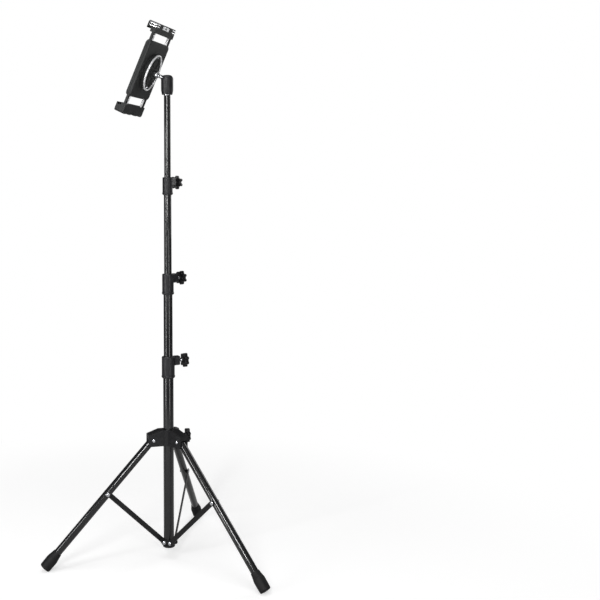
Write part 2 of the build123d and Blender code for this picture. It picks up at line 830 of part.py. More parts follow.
with BuildPart() as grip_pads:
    with BuildSketch(holder_plane(holder_front_h)):
        with Locations((-grip_pad_x, body_mid), (grip_pad_x, body_mid)):
            RectangleRounded(grip_pad_width, grip_pad_length, grip_pad_corner)
    extrude(amount=grip_pad_thickness)
grip_pads.part.label = "grip_pads"
export_step(grip_pads.part, "parts/grip_pads.step")

with BuildPart() as arm_springs:
    for side in (-1, 1):
        with BuildSketch(holder_end_plane(-spring_half_length, holder_split_h)):
            with Locations((side * spring_x, 0)):
                Circle(spring_r)
        extrude(amount=2 * spring_half_length)
arm_springs.part.label = "arm_springs"
export_step(arm_springs.part, "parts/arm_springs.step")

# Oval dish on the back, with two round hollows and the stem's boss between them
with BuildPart() as mount_dish:
    with BuildSketch(holder_plane(holder_back_h)):
        Ellipse(dish_x, dish_y)
    extrude(amount=dish_face_h - holder_back_h)
    with BuildSketch(holder_plane(dish_face_h)):
        Ellipse(dish_x - ring_width - seat_gap, dish_y - ring_width - seat_gap)
    extrude(amount=plateau_h - dish_face_h)
    for side in (-1, 1):
        sphere_r = (recess_r ** 2 + recess_depth ** 2) / (2 * recess_depth)
        base = holder_plane(plateau_h + recess_depth - sphere_r)
        with Locations(base.origin + base.y_dir * side * recess_y):
            Sphere(sphere_r, mode=Mode.SUBTRACT)
    with BuildSketch(holder_plane(hub_boss_h)):
        Circle(hub_boss_round)
    extrude(amount=holder_back_h - hub_boss_h)
    with BuildSketch(holder_plane(hub_boss_h)):
        Circle(insert_r + seat_gap)
    extrude(amount=insert_depth, mode=Mode.SUBTRACT)
    with BuildSketch(holder_plane(ring_face_h)):
        with Locations((0, screw_y), (0, -screw_y)):
            Circle(screw_r + seat_gap)
    extrude(amount=insert_depth, mode=Mode.SUBTRACT)
    with BuildSketch(holder_plane(ring_face_h)):
        with Locations((0, screw_y), (0, -screw_y)):
            Circle(screw_head_r + seat_gap)
    extrude(amount=plateau_h + screw_head_height - ring_face_h, mode=Mode.SUBTRACT)
mount_dish.part.label = "mount_dish"
export_step(mount_dish.part, "parts/mount_dish.step")

with BuildPart() as oval_ring:
    with BuildSketch(holder_plane(ring_face_h)):
        Ellipse(dish_x, dish_y)
        Ellipse(dish_x - ring_width, dish_y - ring_width, mode=Mode.SUBTRACT)
    extrude(amount=dish_face_h - ring_face_h)
    back_face = faces().sort_by(Axis(holder_plane(0).origin, stem_dir))[0]
    fillet(back_face.edges(), ring_edge)
oval_ring.part.label = "oval_ring"
export_step(oval_ring.part, "parts/oval_ring.step")

with BuildPart() as thread_insert:
    with BuildSketch(holder_plane(hub_boss_h)):
        Circle(insert_r)
        Circle(stud_r + run_gap, mode=Mode.SUBTRACT)
    extrude(amount=insert_depth)
thread_insert.part.label = "thread_insert"
export_step(thread_insert.part, "parts/thread_insert.step")

with BuildPart() as holder_screws:
    for side in (-1, 1):
        with BuildSketch(holder_plane(plateau_h)):
            with Locations((0, side * screw_y)):
                Circle(screw_head_r)
        extrude(amount=screw_head_height)
        with BuildSketch(holder_plane(plateau_h + screw_head_height)):
            with Locations((0, side * screw_y)):
                Circle(screw_r)
        extrude(amount=screw_length)
holder_screws.part.label = "holder_screws"
export_step(holder_screws.part, "parts/holder_screws.step")

# Spring arms: a jaw with two hooked claws, two tongues and two steel rods each


def jaw_arm(direction, wall_y):
    """Moulded jaw at one end of the holder, with the tongues that guide it in the body."""
    with BuildPart() as arm:
        with BuildSketch(holder_end_plane(direction * jaw_plate_y)):
            with Locations((0, (jaw_back_h + jaw_plate_h) / 2)):
                Rectangle(2 * holder_half_width, jaw_plate_h - jaw_back_h)
        extrude(amount=direction * jaw_plate_depth)
        for side in (-1, 1):
            with BuildSketch(holder_end_plane(direction * wall_y)):
                with Locations((side * claw_x, (jaw_back_h + jaw_front_h) / 2)):
                    Rectangle(claw_width, jaw_front_h - jaw_back_h)
            extrude(amount=direction * (jaw_reach - wall_y))
        along = Axis(ball_centre, stem_dir)
        outward = Axis(ball_centre, holder_plane(0).y_dir * direction)
        ends = arm.edges().filter_by(along).group_by(outward)[-1].sort_by(Axis(ball_centre, across_dir))
        fillet([ends[0], ends[-1]], claw_corner)
        for side in (-1, 1):
            with BuildSketch(holder_end_plane(direction * (wall_y - lip_reach))):
                with Locations((side * claw_x, jaw_front_h - lip_depth / 2)):
                    Rectangle(claw_width, lip_depth)
            extrude(amount=direction * lip_reach)
            with BuildSketch(holder_end_plane(direction * arm_inner_y)):
                with Locations((side * tongue_x, holder_split_h)):
                    Rectangle(tongue_width, tongue_height)
            extrude(amount=direction * (jaw_plate_y - arm_inner_y))
            with BuildSketch(holder_end_plane(direction * jaw_plate_y)):
                with Locations((side * rod_x, holder_split_h)):
                    Circle(rod_r + seat_gap)
            extrude(amount=direction * (rod_jaw_depth + seat_gap), mode=Mode.SUBTRACT)
    return arm.part


def arm_rods(direction):
    """The two steel rods of one arm."""
    with BuildPart() as rods:
        for side in (-1, 1):
            with BuildSketch(holder_end_plane(direction * arm_inner_y)):
                with Locations((side * rod_x, holder_split_h)):
                    Circle(rod_r)
            extrude(amount=direction * (jaw_plate_y + rod_jaw_depth - arm_inner_y))
    return rods.part


def jaw_pads(direction, wall_y):
    """The two rubber pads that touch the edge of what the holder carries."""
    with BuildPart() as pads:
        with BuildSketch(holder_end_plane(direction * wall_y)):
            for side in (-1, 1):
                with Locations((side * claw_x, jaw_plate_h + jaw_pad_lift + jaw_pad_height / 2)):
                    Rectangle(claw_width - 2 * jaw_pad_inset, jaw_pad_height)
        extrude(amount=-direction * jaw_pad)
    return pads.part


# The upper jaw has a bay in the middle of its back and two slots round each end, above and
# below a rib. A bright plate lies in each of them.
bay_height = upper_jaw_wall - 2 * bay_rim
bay_y = (jaw_reach + upper_jaw_y) / 2
slot_height = (bay_height - bay_rib) / 2
slot_floor_x = holder_half_width - bay_depth
slot_end_h = jaw_front_h - bay_rim


def corner_slots(gap, thickness):
    """L-shaped outlines of both ends' slots, given the gap to their walls and their depth."""
    with BuildPart() as slots:
        for side in (-1, 1):
            for low in (bay_y - bay_height / 2, bay_y + bay_height / 2 - slot_height):
                with BuildSketch(holder_end_plane(low + gap)):
                    with BuildLine():
                        Polyline(
                            (side * (corner_bay_start + gap), jaw_back_h + bay_depth),
                            (side * (corner_bay_start + gap), jaw_back_h + bay_depth - thickness),
                            (side * (slot_floor_x + thickness), jaw_back_h + bay_depth - thickness),
                            (side * (slot_floor_x + thickness), slot_end_h - gap),
                            (side * slot_floor_x, slot_end_h - gap),
                            (side * slot_floor_x, jaw_back_h + bay_depth),
                            close=True,
                        )
                    make_face()
                extrude(amount=slot_height - 2 * gap)
    return slots.part


with BuildPart() as upper_arm:
    add(jaw_arm(1, upper_jaw_y))
    with BuildSketch(holder_plane(jaw_back_h)):
        with Locations((0, bay_y)):
            RectangleRounded(bay_width, bay_height, bay_corner)
    extrude(amount=bay_depth, mode=Mode.SUBTRACT)
    add(corner_slots(0, bay_depth), mode=Mode.SUBTRACT)
save(upper_arm.part, "upper_arm")
save(arm_rods(1), "upper_rods")
save(arm_rods(-1), "lower_rods")
save(jaw_pads(1, upper_jaw_y), "upper_jaw_pads")
save(jaw_pads(-1, lower_jaw_y), "lower_jaw_pads")

with BuildPart() as upper_jaw_trim:
    with BuildSketch(holder_plane(jaw_back_h + bay_depth)):
        with Locations((0, bay_y)):
            RectangleRounded(bay_width - 2 * seat_gap, bay_height - 2 * seat_gap, bay_corner)
    extrude(amount=-trim_thickness)
    add(corner_slots(seat_gap, trim_thickness))
save(upper_jaw_trim.part, "upper_jaw_trim")

# The lower jaw's outer edge is notched between the claws and scalloped under each of them
with BuildPart() as lower_arm:
    add(jaw_arm(-1, lower_jaw_y))
    with BuildSketch(holder_end_plane(-jaw_reach)):
        with Locations((0, (jaw_back_h + jaw_front_h) / 2)):
            Rectangle(claw_gap, jaw_front_h - jaw_back_h)
    extrude(amount=notch_depth, mode=Mode.SUBTRACT)
    with BuildSketch(holder_plane(jaw_back_h)):
        with Locations((-claw_x, -jaw_reach - scallop_r + scallop_depth),
                       (claw_x, -jaw_reach - scallop_r + scallop_depth)):
            Circle(scallop_r)
    extrude(amount=jaw_front_h - jaw_back_h, mode=Mode.SUBTRACT)
save(lower_arm.part, "lower_arm")
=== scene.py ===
"""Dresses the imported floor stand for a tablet: surfaces, finishes, lamps, floor and camera."""

import logging
import math
from dataclasses import dataclass
from enum import Enum
from typing import Callable, Iterable, Sequence

import bmesh
import bpy
import numpy as np
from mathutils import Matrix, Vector


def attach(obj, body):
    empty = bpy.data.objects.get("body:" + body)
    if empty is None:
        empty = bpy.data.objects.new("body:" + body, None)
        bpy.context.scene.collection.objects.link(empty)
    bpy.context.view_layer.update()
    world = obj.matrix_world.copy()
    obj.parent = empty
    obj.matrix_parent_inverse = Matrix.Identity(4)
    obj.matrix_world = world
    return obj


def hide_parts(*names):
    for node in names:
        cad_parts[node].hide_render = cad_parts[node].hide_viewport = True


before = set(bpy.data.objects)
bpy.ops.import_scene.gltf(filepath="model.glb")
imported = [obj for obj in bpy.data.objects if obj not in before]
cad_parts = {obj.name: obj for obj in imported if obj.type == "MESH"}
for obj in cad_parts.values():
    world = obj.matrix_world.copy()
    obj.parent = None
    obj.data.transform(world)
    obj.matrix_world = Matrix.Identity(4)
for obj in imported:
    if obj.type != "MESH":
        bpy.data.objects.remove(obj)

Array = np.ndarray
Stations = list[tuple[float, float, float]]
Triple = tuple[float, float, float]
MM = 0.001
TURN = 2.0 * math.pi
SIDES = (-1, 1)
UP = np.array([0.0, 0.0, 1.0])
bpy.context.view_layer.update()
log = logging.getLogger("floor_stand")


# Axes and placing


@dataclass(frozen=True)
class Spot:
    """A point with three square axes: u and v lie across a piece and w runs along it.

    Attributes:
        origin: The point, in millimetres.
        u: First axis across.
        v: Second axis across.
        w: Axis along.
    """

    origin: Array
    u: Array
    v: Array
    w: Array

    def place(self, points: Array) -> Array:
        """Turns local millimetres into the shared frame's metres.

        Args:
            points: Array whose last axis holds local u, v and w.

        Returns:
            An array of the same shape, in metres.
        """
        turned = points @ np.stack([self.u, self.v, self.w])
        return (self.origin + turned) * MM

    def moved(self, du: float = 0.0, dv: float = 0.0, dw: float = 0.0) -> "Spot":
        """The same axes, moved across and along."""
        return Spot(self.origin + self.u * du + self.v * dv + self.w * dw, self.u, self.v, self.w)

    def flipped(self) -> "Spot":
        """The same place, with v and w the other way round."""
        return Spot(self.origin, self.u, -self.v, -self.w)


def outward(azimuth: float) -> Array:
    """Level unit direction at an azimuth in degrees."""
    a = math.radians(azimuth)
    return np.array([math.cos(a), math.sin(a), 0.0])


def column_spot(height: float, azimuth: float = 0.0) -> Spot:
    """Axes of the column at a height: u points to the azimuth and w is up."""
    out = outward(azimuth)
    return Spot(UP * height, out, np.cross(UP, out), UP)


def facing_spot(azimuth: float, height: float, distance: float) -> Spot:
    """Axes that face outward from the column: w runs out at the azimuth and v is up.

    Args:
        azimuth: Direction, in degrees.
        height: Height above the floor.
        distance: Distance from the column's axis.

    Returns:
        The axes.
    """
    out = outward(azimuth)
    return Spot(out * distance + UP * height, np.cross(UP, out), UP, out)


def side_spot(azimuth: float, radius: float, height: float, offset: float) -> Spot:
    """Axes that face clockwise beside a leg: u runs outward and v is up.

    Args:
        azimuth: Direction of the leg, in degrees.
        radius: Distance from the column's axis.
        height: Height above the floor.
        offset: Distance from the leg's middle plane, clockwise.

    Returns:
        The axes.
    """
    out = outward(azimuth)
    clockwise = np.cross(out, UP)
    return Spot(out * radius + UP * height + clockwise * offset, out, UP, clockwise)


# Outlines and profiles


def rounded_corners(corners: Sequence[Triple], closed: bool = False, steps: int = 6) -> Array:
    """Polyline whose corners are arcs tangent to both of their sides.

    At a corner of half angle h the arc of radius r starts r / tan(h) before the corner, and its
    centre lies on the bisector at r / sin(h).

    Args:
        corners: Corner x, y and arc radius. A radius of 0 keeps the corner sharp.
        closed: Whether the last corner joins the first.
        steps: Segments of each arc.

    Returns:
        An array of points, (n, 2).
    """
    pts = np.array([c[:2] for c in corners], float)
    count = len(pts)
    out: list[Array] = []
    for i, (_, _, radius) in enumerate(corners):
        inner = closed or 0 < i < count - 1
        if radius <= 0 or not inner:
            out.append(pts[i][None])
            continue
        back = pts[i - 1] - pts[i]
        ahead = pts[(i + 1) % count] - pts[i]
        back /= np.linalg.norm(back)
        ahead /= np.linalg.norm(ahead)
        half = math.acos(float(np.clip(back @ ahead, -1, 1))) / 2
        centre = pts[i] + (back + ahead) / np.linalg.norm(back + ahead) * radius / math.sin(half)
        start = pts[i] + back * radius / math.tan(half) - centre
        end = pts[i] + ahead * radius / math.tan(half) - centre
        sweep = math.atan2(start[0] * end[1] - start[1] * end[0], start @ end)
        angle = np.linspace(0, sweep, steps + 1)[:, None]
        turned = np.stack([-start[1], start[0]])
        out.append(centre + np.cos(angle) * start + np.sin(angle) * turned)
    return np.concatenate(out)


def rounded_box(width: float, height: float, corner: float) -> Array:
    """Outline of a rectangle with round corners.

    Args:
        width: Size along x.
        height: Size along y.
        corner: Radius of the corners.

    Returns:
        Points in counter-clockwise order, (n, 2).
    """
    w, h = width / 2, height / 2
    return rounded_corners([(-w, -h, corner), (w, -h, corner), (w, h, corner), (-w, h, corner)],
                           closed=True, steps=8)


def full_turn(count: int) -> Array:
    """Equal angles round a circle, from 0 to just under a full turn."""
    return np.arange(count) / count * TURN


def ellipse(a: float, b: float, count: int) -> Array:
    """Outline of an ellipse with half axes a and b, counter-clockwise, (n, 2)."""
    t = full_turn(count)
    return np.stack([a * np.cos(t), b * np.sin(t)], axis=1)


def inward_normals(outline: Array) -> Array:
    """Unit normals that point into an outline, square to the line through both neighbours.

    Args:
        outline: Counter-clockwise points, (n, 2).

    Returns:
        One normal for each point, (n, 2).
    """
    ahead = np.roll(outline, -1, axis=0) - np.roll(outline, 1, axis=0)
    normal = np.stack([-ahead[:, 1], ahead[:, 0]], axis=1)
    return normal / np.maximum(np.linalg.norm(normal, axis=1, keepdims=True), 1e-9)


def smooth_max(a: Array, b: Array, width: float) -> Array:
    """Larger of two arrays, with a fillet of about the given width where they cross.

    The value is half of a + b + the root of (a - b) squared plus width squared.
    """
    return 0.5 * (a + b + np.sqrt((a - b) ** 2 + width ** 2))


def smooth_step(x: Array) -> Array:
    """Rises from 0 to 1 over 0 to 1 as 3x squared less 2x cubed, and is flat outside."""
    t = np.clip(x, 0.0, 1.0)
    return t * t * (3 - 2 * t)


def quarter_round(depth: Array, radius: float) -> Array:
    """Setback of a quarter-round edge at a depth: r less r times the root of 1 - (1 - d/r) squared."""
    share = np.clip(depth / radius, 0, 1)
    return radius * (1 - np.sqrt(np.clip(1 - (1 - share) ** 2, 0, 1)))


# Meshes


def grid_faces(rows: int, columns: int, close_rows: bool = False) -> Array:
    """Quads of a grid of points whose rows are loops, as index rows.

    Args:
        rows: Number of rows of points.
        columns: Number of points in a row.
        close_rows: Whether the last row joins the first.

    Returns:
        An array of indices, (n, 4).
    """
    i = np.arange(rows if close_rows else rows - 1)
    ii, jj = np.meshgrid(i, np.arange(columns), indexing="ij")
    ni, nj = (ii + 1) % rows, (jj + 1) % columns
    quads = np.stack([ii * columns + jj, ii * columns + nj, ni * columns + nj, ni * columns + jj], -1)
    return quads.reshape(-1, 4)


@dataclass
class Surface:
    """Points and faces of one or more surfaces that belong to one piece.

    Attributes:
        points: Points, in metres, (n, 3).
        faces: Corner indices of each face.
    """

    points: Array
    faces: Array

    @classmethod
    def on_grid(cls, spot: Spot, local: Array, close_rows: bool = False) -> "Surface":
        """Surface through a grid of local points whose rows are loops.

        Args:
            spot: Axes of the points.
            local: Local points in millimetres, (rows, columns, 3).
            close_rows: Whether the last row joins the first.

        Returns:
            The surface.
        """
        rows, columns = local.shape[:2]
        return cls(spot.place(local).reshape(-1, 3), grid_faces(rows, columns, close_rows))

    @classmethod
    def joined(cls, parts: Iterable["Surface"]) -> "Surface":
        """One surface that holds all the given ones.

        Args:
            parts: Surfaces of one piece.

        Returns:
            The surface.
        """
        points, faces, base = [], [], 0
        for part in parts:
            points.append(part.points)
            faces.append(part.faces + base)
            base += len(part.points)
        return cls(np.concatenate(points), np.concatenate(faces))


def lathe(spot: Spot, profile: Array, segments: int = 64, closed: bool = False,
          shape: Callable[[Array, Array, Array], Array] | None = None) -> Surface:
    """Surface of revolution about w: the profile's radius turned through a full circle.

    A point is (r cos t, r sin t, s) for profile radius r, profile height s and angle t.

    Args:
        spot: Axes, with w as the axis of revolution.
        profile: Radius and height of each profile point, (n, 2).
        segments: Points round the circle.
        closed: Whether the profile is a loop, as for a tube wall.
        shape: Optional change of the radius from radius, height and angle.

    Returns:
        The surface, in metres.
    """
    t = full_turn(segments)
    r, s = (np.repeat(column[:, None], segments, axis=1) for column in profile.T)
    if shape is not None:
        r = shape(r, s, np.broadcast_to(t, r.shape))
    return Surface.on_grid(spot, np.stack([r * np.cos(t), r * np.sin(t), s], axis=-1), closed)


def stack(spot: Spot, outline: Array, stations: Stations) -> Surface:
    """Solid built from copies of an outline along w.

    Each copy is the outline moved inwards by an inset, scaled by a share about its middle and
    raised to a height. A share of 0 closes an end in a pole.

    Args:
        spot: Axes, with w as the direction of the stack.
        outline: Counter-clockwise outline, (n, 2).
        stations: Inset, share and height of each copy.

    Returns:
        The surface, in metres.
    """
    normal = inward_normals(outline)
    middle = outline.mean(axis=0)
    inset, share, height = (np.array(c, float)[:, None, None] for c in zip(*stations))
    ring = middle + (outline + normal * inset - middle) * share
    heights = np.broadcast_to(height, ring.shape[:2] + (1,))
    return Surface.on_grid(spot, np.concatenate([ring, heights], axis=-1))


def rising_rim(low: float, edge: float, steps: int) -> Stations:
    """Stations of a quarter-round rim that widens from a lower face.

    At angle a the inset is e (1 - sin a) and the height is low + e (1 - cos a).

    Args:
        low: Height of the face.
        edge: Radius e of the rim.
        steps: Segments of the rim.

    Returns:
        Stations for stack.
    """
    return [(edge * (1 - math.sin(a)), 1.0, low + edge * (1 - math.cos(a)))
            for a in np.linspace(0, math.pi / 2, steps + 1)]


def falling_rim(high: float, edge: float, steps: int) -> Stations:
    """Stations of a quarter-round rim that narrows to an upper face.

    At angle a the inset is e (1 - cos a) and the height is high - e (1 - sin a).

    Args:
        high: Height of the face.
        edge: Radius e of the rim.
        steps: Segments of the rim.

    Returns:
        Stations for stack.
    """
    return [(edge * (1 - math.cos(a)), 1.0, high - edge * (1 - math.sin(a)))
            for a in np.linspace(0, math.pi / 2, steps + 1)]


def pillow(low: float, high: float, edge: float, steps: int = 3) -> Stations:
    """Stations of a slab with flat ends and quarter-round rims.

    Args:
        low: Height of the lower face.
        high: Height of the upper face.
        edge: Radius of both rims.
        steps: Segments of each rim.

    Returns:
        Stations for stack, from the lower pole to the upper pole.
    """
    flat = edge + 0.4
    return ([(flat, 0.0, low), (flat, 1.0, low)] + rising_rim(low, edge, steps)
            + falling_rim(high, edge, steps) + [(flat, 1.0, high), (flat, 0.0, high)])


def sweep_ring(spot: Spot, path: Array, section: Array) -> Surface:
    """Closed section carried round a closed path that lies across w.

    A point is the path's point plus its outward normal times the section's distance, at the
    section's height.

    Args:
        spot: Axes, with the path in u and v.
        path: Counter-clockwise centre line, (n, 2).
        section: Closed outline, as distance outwards and height, (m, 2).

    Returns:
        The surface, in metres.
    """
    distance, height = section[:, 0, None, None], section[:, 1, None, None]
    ring = path - inward_normals(path) * distance
    heights = np.broadcast_to(height, ring.shape[:2] + (1,))
    return Surface.on_grid(spot, np.concatenate([ring, heights], axis=-1), True)


def make_object(name: str, points: Array, faces: Array, clean: Callable[[bmesh.types.BMesh], None],
                smooth_angle: float) -> bpy.types.Object:
    """Makes a mesh object at the origin, cleans it and smooths it.

    Args:
        name: Name of the piece.
        points: Its points, in metres.
        faces: Corner indices of its faces.
        clean: What is done to the mesh before it is shaded.
        smooth_angle: Edges sharper than this many degrees stay sharp.

    Returns:
        The new object.
    """
    mesh = bpy.data.meshes.new(name)
    mesh.from_pydata(points.tolist(), [], faces.tolist())
    work = bmesh.new()
    work.from_mesh(mesh)
    clean(work)
    work.to_mesh(mesh)
    work.free()
    mesh.shade_smooth()
    mesh.set_sharp_from_angle(angle=math.radians(smooth_angle))
    piece = bpy.data.objects.new(name, mesh)
    bpy.context.scene.collection.objects.link(piece)
    return piece


def add_mesh(name: str, surface: Surface, smooth_angle: float = 40.0) -> bpy.types.Object:
    """Makes an object from a surface, with its poles merged and its faces outwards.

    Args:
        name: Name of the piece.
        surface: Its points and faces, in metres.
        smooth_angle: Edges sharper than this many degrees stay sharp.

    Returns:
        The new object.
    """

    def clean(work: bmesh.types.BMesh) -> None:
        """Closes poles and seams and lets faces point outwards.

        Args:
            work: The mesh.
        """
        bmesh.ops.remove_doubles(work, verts=work.verts, dist=2e-6)
        bmesh.ops.dissolve_degenerate(work, edges=work.edges, dist=1e-7)
        bmesh.ops.recalc_face_normals(work, faces=work.faces)

    return make_object(name, surface.points, surface.faces, clean, smooth_angle)


def moulded_copy(name: str, node: str, edge: float) -> bpy.types.Object:
    """Copy of a CAD node with its facets merged and its edges rounded.

    Args:
        name: Name of the piece.
        node: CAD node that it copies.
        edge: Width of the rounded edges, in millimetres.

    Returns:
        The new object.
    """

    def clean(work: bmesh.types.BMesh) -> None:
        """Merges the loose triangles and joins those that lie in one plane."""
        bmesh.ops.remove_doubles(work, verts=work.verts, dist=1e-6)
        bmesh.ops.dissolve_limit(work, angle_limit=math.radians(1.0), verts=work.verts, edges=work.edges)

    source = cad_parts[node].data
    points = np.empty(len(source.vertices) * 3)
    source.vertices.foreach_get("co", points)
    corners = np.empty(len(source.loops), np.int32)
    source.loops.foreach_get("vertex_index", corners)
    piece = make_object(name, points.reshape(-1, 3), corners.reshape(-1, 3), clean, 30.0)
    bevel = piece.modifiers.new("edges", "BEVEL")
    bevel.width = edge * MM
    bevel.segments = 3
    bevel.limit_method = "ANGLE"
    bevel.angle_limit = math.radians(40)
    bevel.use_clamp_overlap = True
    bevel.harden_normals = False
    return piece


# Shader maths


class Shade:
    """Wraps a shader socket so that maths on it adds Math nodes."""

    def __init__(self, sheet: "NodeSheet", socket: bpy.types.NodeSocket) -> None:
        """Keeps the socket and the sheet that it belongs to."""
        self.sheet = sheet
        self.socket = socket

    def _maths(self, operation: str, *values: "Shade | float") -> "Shade":
        """Adds one Math node."""
        return self.sheet.node("ShaderNodeMath", {"operation": operation}, dict(enumerate(values)))[0]

    def __radd__(self, other: float) -> "Shade":
        """Sum with a number on the left."""
        return self._maths("ADD", other, self)

    def __rsub__(self, other: float) -> "Shade":
        """Difference from a number on the left."""
        return self._maths("SUBTRACT", other, self)

    def __mul__(self, other: "Shade | float") -> "Shade":
        """Product."""
        return self._maths("MULTIPLY", self, other)

    def over(self, threshold: float, soft: float) -> "Shade":
        """Mask that rises from 0 to 1 across a soft threshold.

        Args:
            threshold: Value where the mask is a half.
            soft: Distance to where it is 0 and 1.

        Returns:
            The mask.
        """
        values = {"Value": self, "From Min": threshold - soft, "From Max": threshold + soft}
        return self.sheet.node("ShaderNodeMapRange", {"interpolation_type": "SMOOTHSTEP"}, values)[0]


class NodeSheet:
    """Builds the nodes of one node tree."""

    def __init__(self, tree: bpy.types.NodeTree) -> None:
        """Keeps the tree of a material or of the world."""
        self.tree = tree

    def feed(self, socket: bpy.types.NodeSocket, value: object) -> None:
        """Links a wrapped socket to an input, or sets the input to a value.

        Args:
            socket: The input.
            value: A wrapped socket, a number, a colour or a vector.
        """
        if isinstance(value, Shade):
            self.tree.links.new(value.socket, socket)
        else:
            socket.default_value = value

    def node(self, kind: str, settings: dict[str, object],
             inputs: dict[str | int, object]) -> list[Shade]:
        """Adds a node, sets its options and then its sockets.

        Args:
            kind: Node type, such as ShaderNodeTexNoise.
            settings: Options of the node, set first.
            inputs: Values or links by socket name or place.

        Returns:
            The node's outputs, wrapped.
        """
        made = self.tree.nodes.new(kind)
        for key, value in settings.items():
            setattr(made, key, value)
        for key, value in inputs.items():
            self.feed(made.inputs[key], value)
        return [Shade(self, s) for s in made.outputs if s.enabled]

    def output(self, kind: str, name: str) -> Shade:
        """Adds a node without inputs and picks one of its outputs by name."""
        return next(s for s in self.node(kind, {}, {}) if s.socket.name == name)

    def mix(self, factor: Shade, low: Shade, high: Shade) -> Shade:
        """Shader between two shaders by a factor."""
        return self.node("ShaderNodeMixShader", {}, {0: factor, 1: low, 2: high})[0]

    def light(self, kind: str, strength: float) -> Shade:
        """White emission or background of a strength."""
        return self.node(kind, {}, {"Color": (1, 1, 1, 1), "Strength": strength})[0]

    def end(self, shader: Shade) -> None:
        """Links a shader to the tree's own output node."""
        output = next(n for n in self.tree.nodes if n.type.startswith("OUTPUT"))
        self.tree.links.new(shader.socket, output.inputs["Surface"])


class FinishSheet(NodeSheet):
    """Builds the nodes of one material."""

    def __init__(self, name: str) -> None:
        """Starts a material with one Principled shader.

        Args:
            name: Name of the material.
        """
        self.material = bpy.data.materials.new(name)
        self.material.use_nodes = True
        super().__init__(self.material.node_tree)
        self.shader = next(n for n in self.tree.nodes if n.type == "BSDF_PRINCIPLED")

    def place(self) -> Shade:
        """Object coordinates."""
        return self.output("ShaderNodeTexCoord", "Object")

    def noise(self, scale: float, detail: float, rough: float = 0.5) -> Shade:
        """Noise on object coordinates, about 0 to 1.

        Args:
            scale: Cells per metre.
            detail: Octaves.
            rough: Share that each octave keeps.

        Returns:
            The noise value.
        """
        values = {"Vector": self.place(), "Scale": scale, "Detail": detail, "Roughness": rough}
        return self.node("ShaderNodeTexNoise", {}, values)[0]

    def blend(self, mask: Shade, low: Triple, high: Triple) -> Shade:
        """Colour between two colours.

        Args:
            mask: 0 for the first colour and 1 for the second.
            low: First colour.
            high: Second colour.

        Returns:
            The colour.
        """
        colours = {0: mask, 6: (*low, 1.0), 7: (*high, 1.0)}
        return self.node("ShaderNodeMix", {"data_type": "RGBA"}, colours)[0]

    def bump(self, height: Shade, strength: float, depth: float) -> Shade:
        """Normal bent by a height.

        Args:
            height: Height, about 0 to 1.
            strength: Share of the effect.
            depth: Depth of the relief, in metres.

        Returns:
            The normal.
        """
        values = {"Strength": strength, "Distance": depth, "Height": height}
        return self.node("ShaderNodeBump", {}, values)[0]

    def set(self, **values: object) -> None:
        """Sets or links inputs of the shader.

        Args:
            **values: Value of each input, with underscores for the spaces in its name.
        """
        for key, value in values.items():
            self.feed(self.shader.inputs[key.replace("_", " ")], value)


# Finishes


class Finish(Enum):
    """The finishes of the stand's pieces."""

    BLACK_PAINT = "black_paint"
    STRIP_PAINT = "strip_paint"
    HUB_PLASTIC = "hub_plastic"
    SATIN_PLASTIC = "satin_plastic"
    KNOB_PLASTIC = "knob_plastic"
    HOLDER_PLASTIC = "holder_plastic"
    FOOT_RUBBER = "foot_rubber"
    PAD_RUBBER = "pad_rubber"
    ZINC = "zinc"
    CHROME = "chrome"
    SATIN_CHROME = "satin_chrome"
    BRASS = "brass"
    SILVER_TRIM = "silver_trim"
    NYLON = "nylon"


@dataclass(frozen=True)
class Paint:
    """Glossy sprayed paint: faint orange peel and a little uneven gloss.

    Attributes:
        colour: Base colour.
        gloss: Mean roughness.
        coat: Weight of the clear coat.
        shine: Specular level of the paint.
        coat_gloss: Roughness of the clear coat.
        cloud: Cells of uneven gloss per metre.
        peel: Cells of orange peel per metre.
        peel_depth: Depth of the peel, in metres.
    """

    colour: Triple
    gloss: float
    coat: float
    shine: float
    coat_gloss: float = 0.07
    cloud: float = 22.0
    peel: float = 420.0
    peel_depth: float = 0.00002

    def dress(self, sheet: FinishSheet) -> None:
        """Adds the paint's nodes.

        Args:
            sheet: Sheet of the material.
        """
        cloud = sheet.noise(self.cloud, 4.0)
        lighter = tuple(c * 1.5 + 0.003 for c in self.colour)
        sheet.set(Base_Color=sheet.blend(cloud.over(0.62, 0.2), self.colour, lighter),
                  Roughness=self.gloss - 0.04 + cloud * 0.09,
                  Coat_Weight=self.coat, Coat_Roughness=self.coat_gloss, Specular_IOR_Level=self.shine,
                  Normal=sheet.bump(sheet.noise(self.peel, 2.0), 0.35, self.peel_depth))


@dataclass(frozen=True)
class Moulding:
    """Moulded plastic or rubber with a fine spark-eroded grain.

    Attributes:
        colour: Base colour.
        roughness: Mean roughness.
        grain: Grains per metre.
        grain_depth: Depth of the grain, in metres.
        scuff: Share of lighter rubbed patches.
        shine: Specular level.
        patch: Rubbed patches per metre.
    """

    colour: Triple
    roughness: float
    grain: float = 1500.0
    grain_depth: float = 0.00008
    scuff: float = 0.4
    shine: float = 0.3
    patch: float = 38.0

    def dress(self, sheet: FinishSheet) -> None:
        """Adds the moulding's nodes.

        Args:
            sheet: Sheet of the material.
        """
        grain = sheet.noise(self.grain, 3.0, 0.6)
        patch = sheet.noise(self.patch, 5.0, 0.65)
        rubbed = tuple(min(1.0, c * (1 + self.scuff) + 0.008 * self.scuff) for c in self.colour)
        sheet.set(Base_Color=sheet.blend(patch.over(0.58, 0.16), self.colour, rubbed),
                  Roughness=self.roughness - 0.06 + patch * 0.12, Specular_IOR_Level=self.shine,
                  Normal=sheet.bump(grain, 0.5, self.grain_depth))


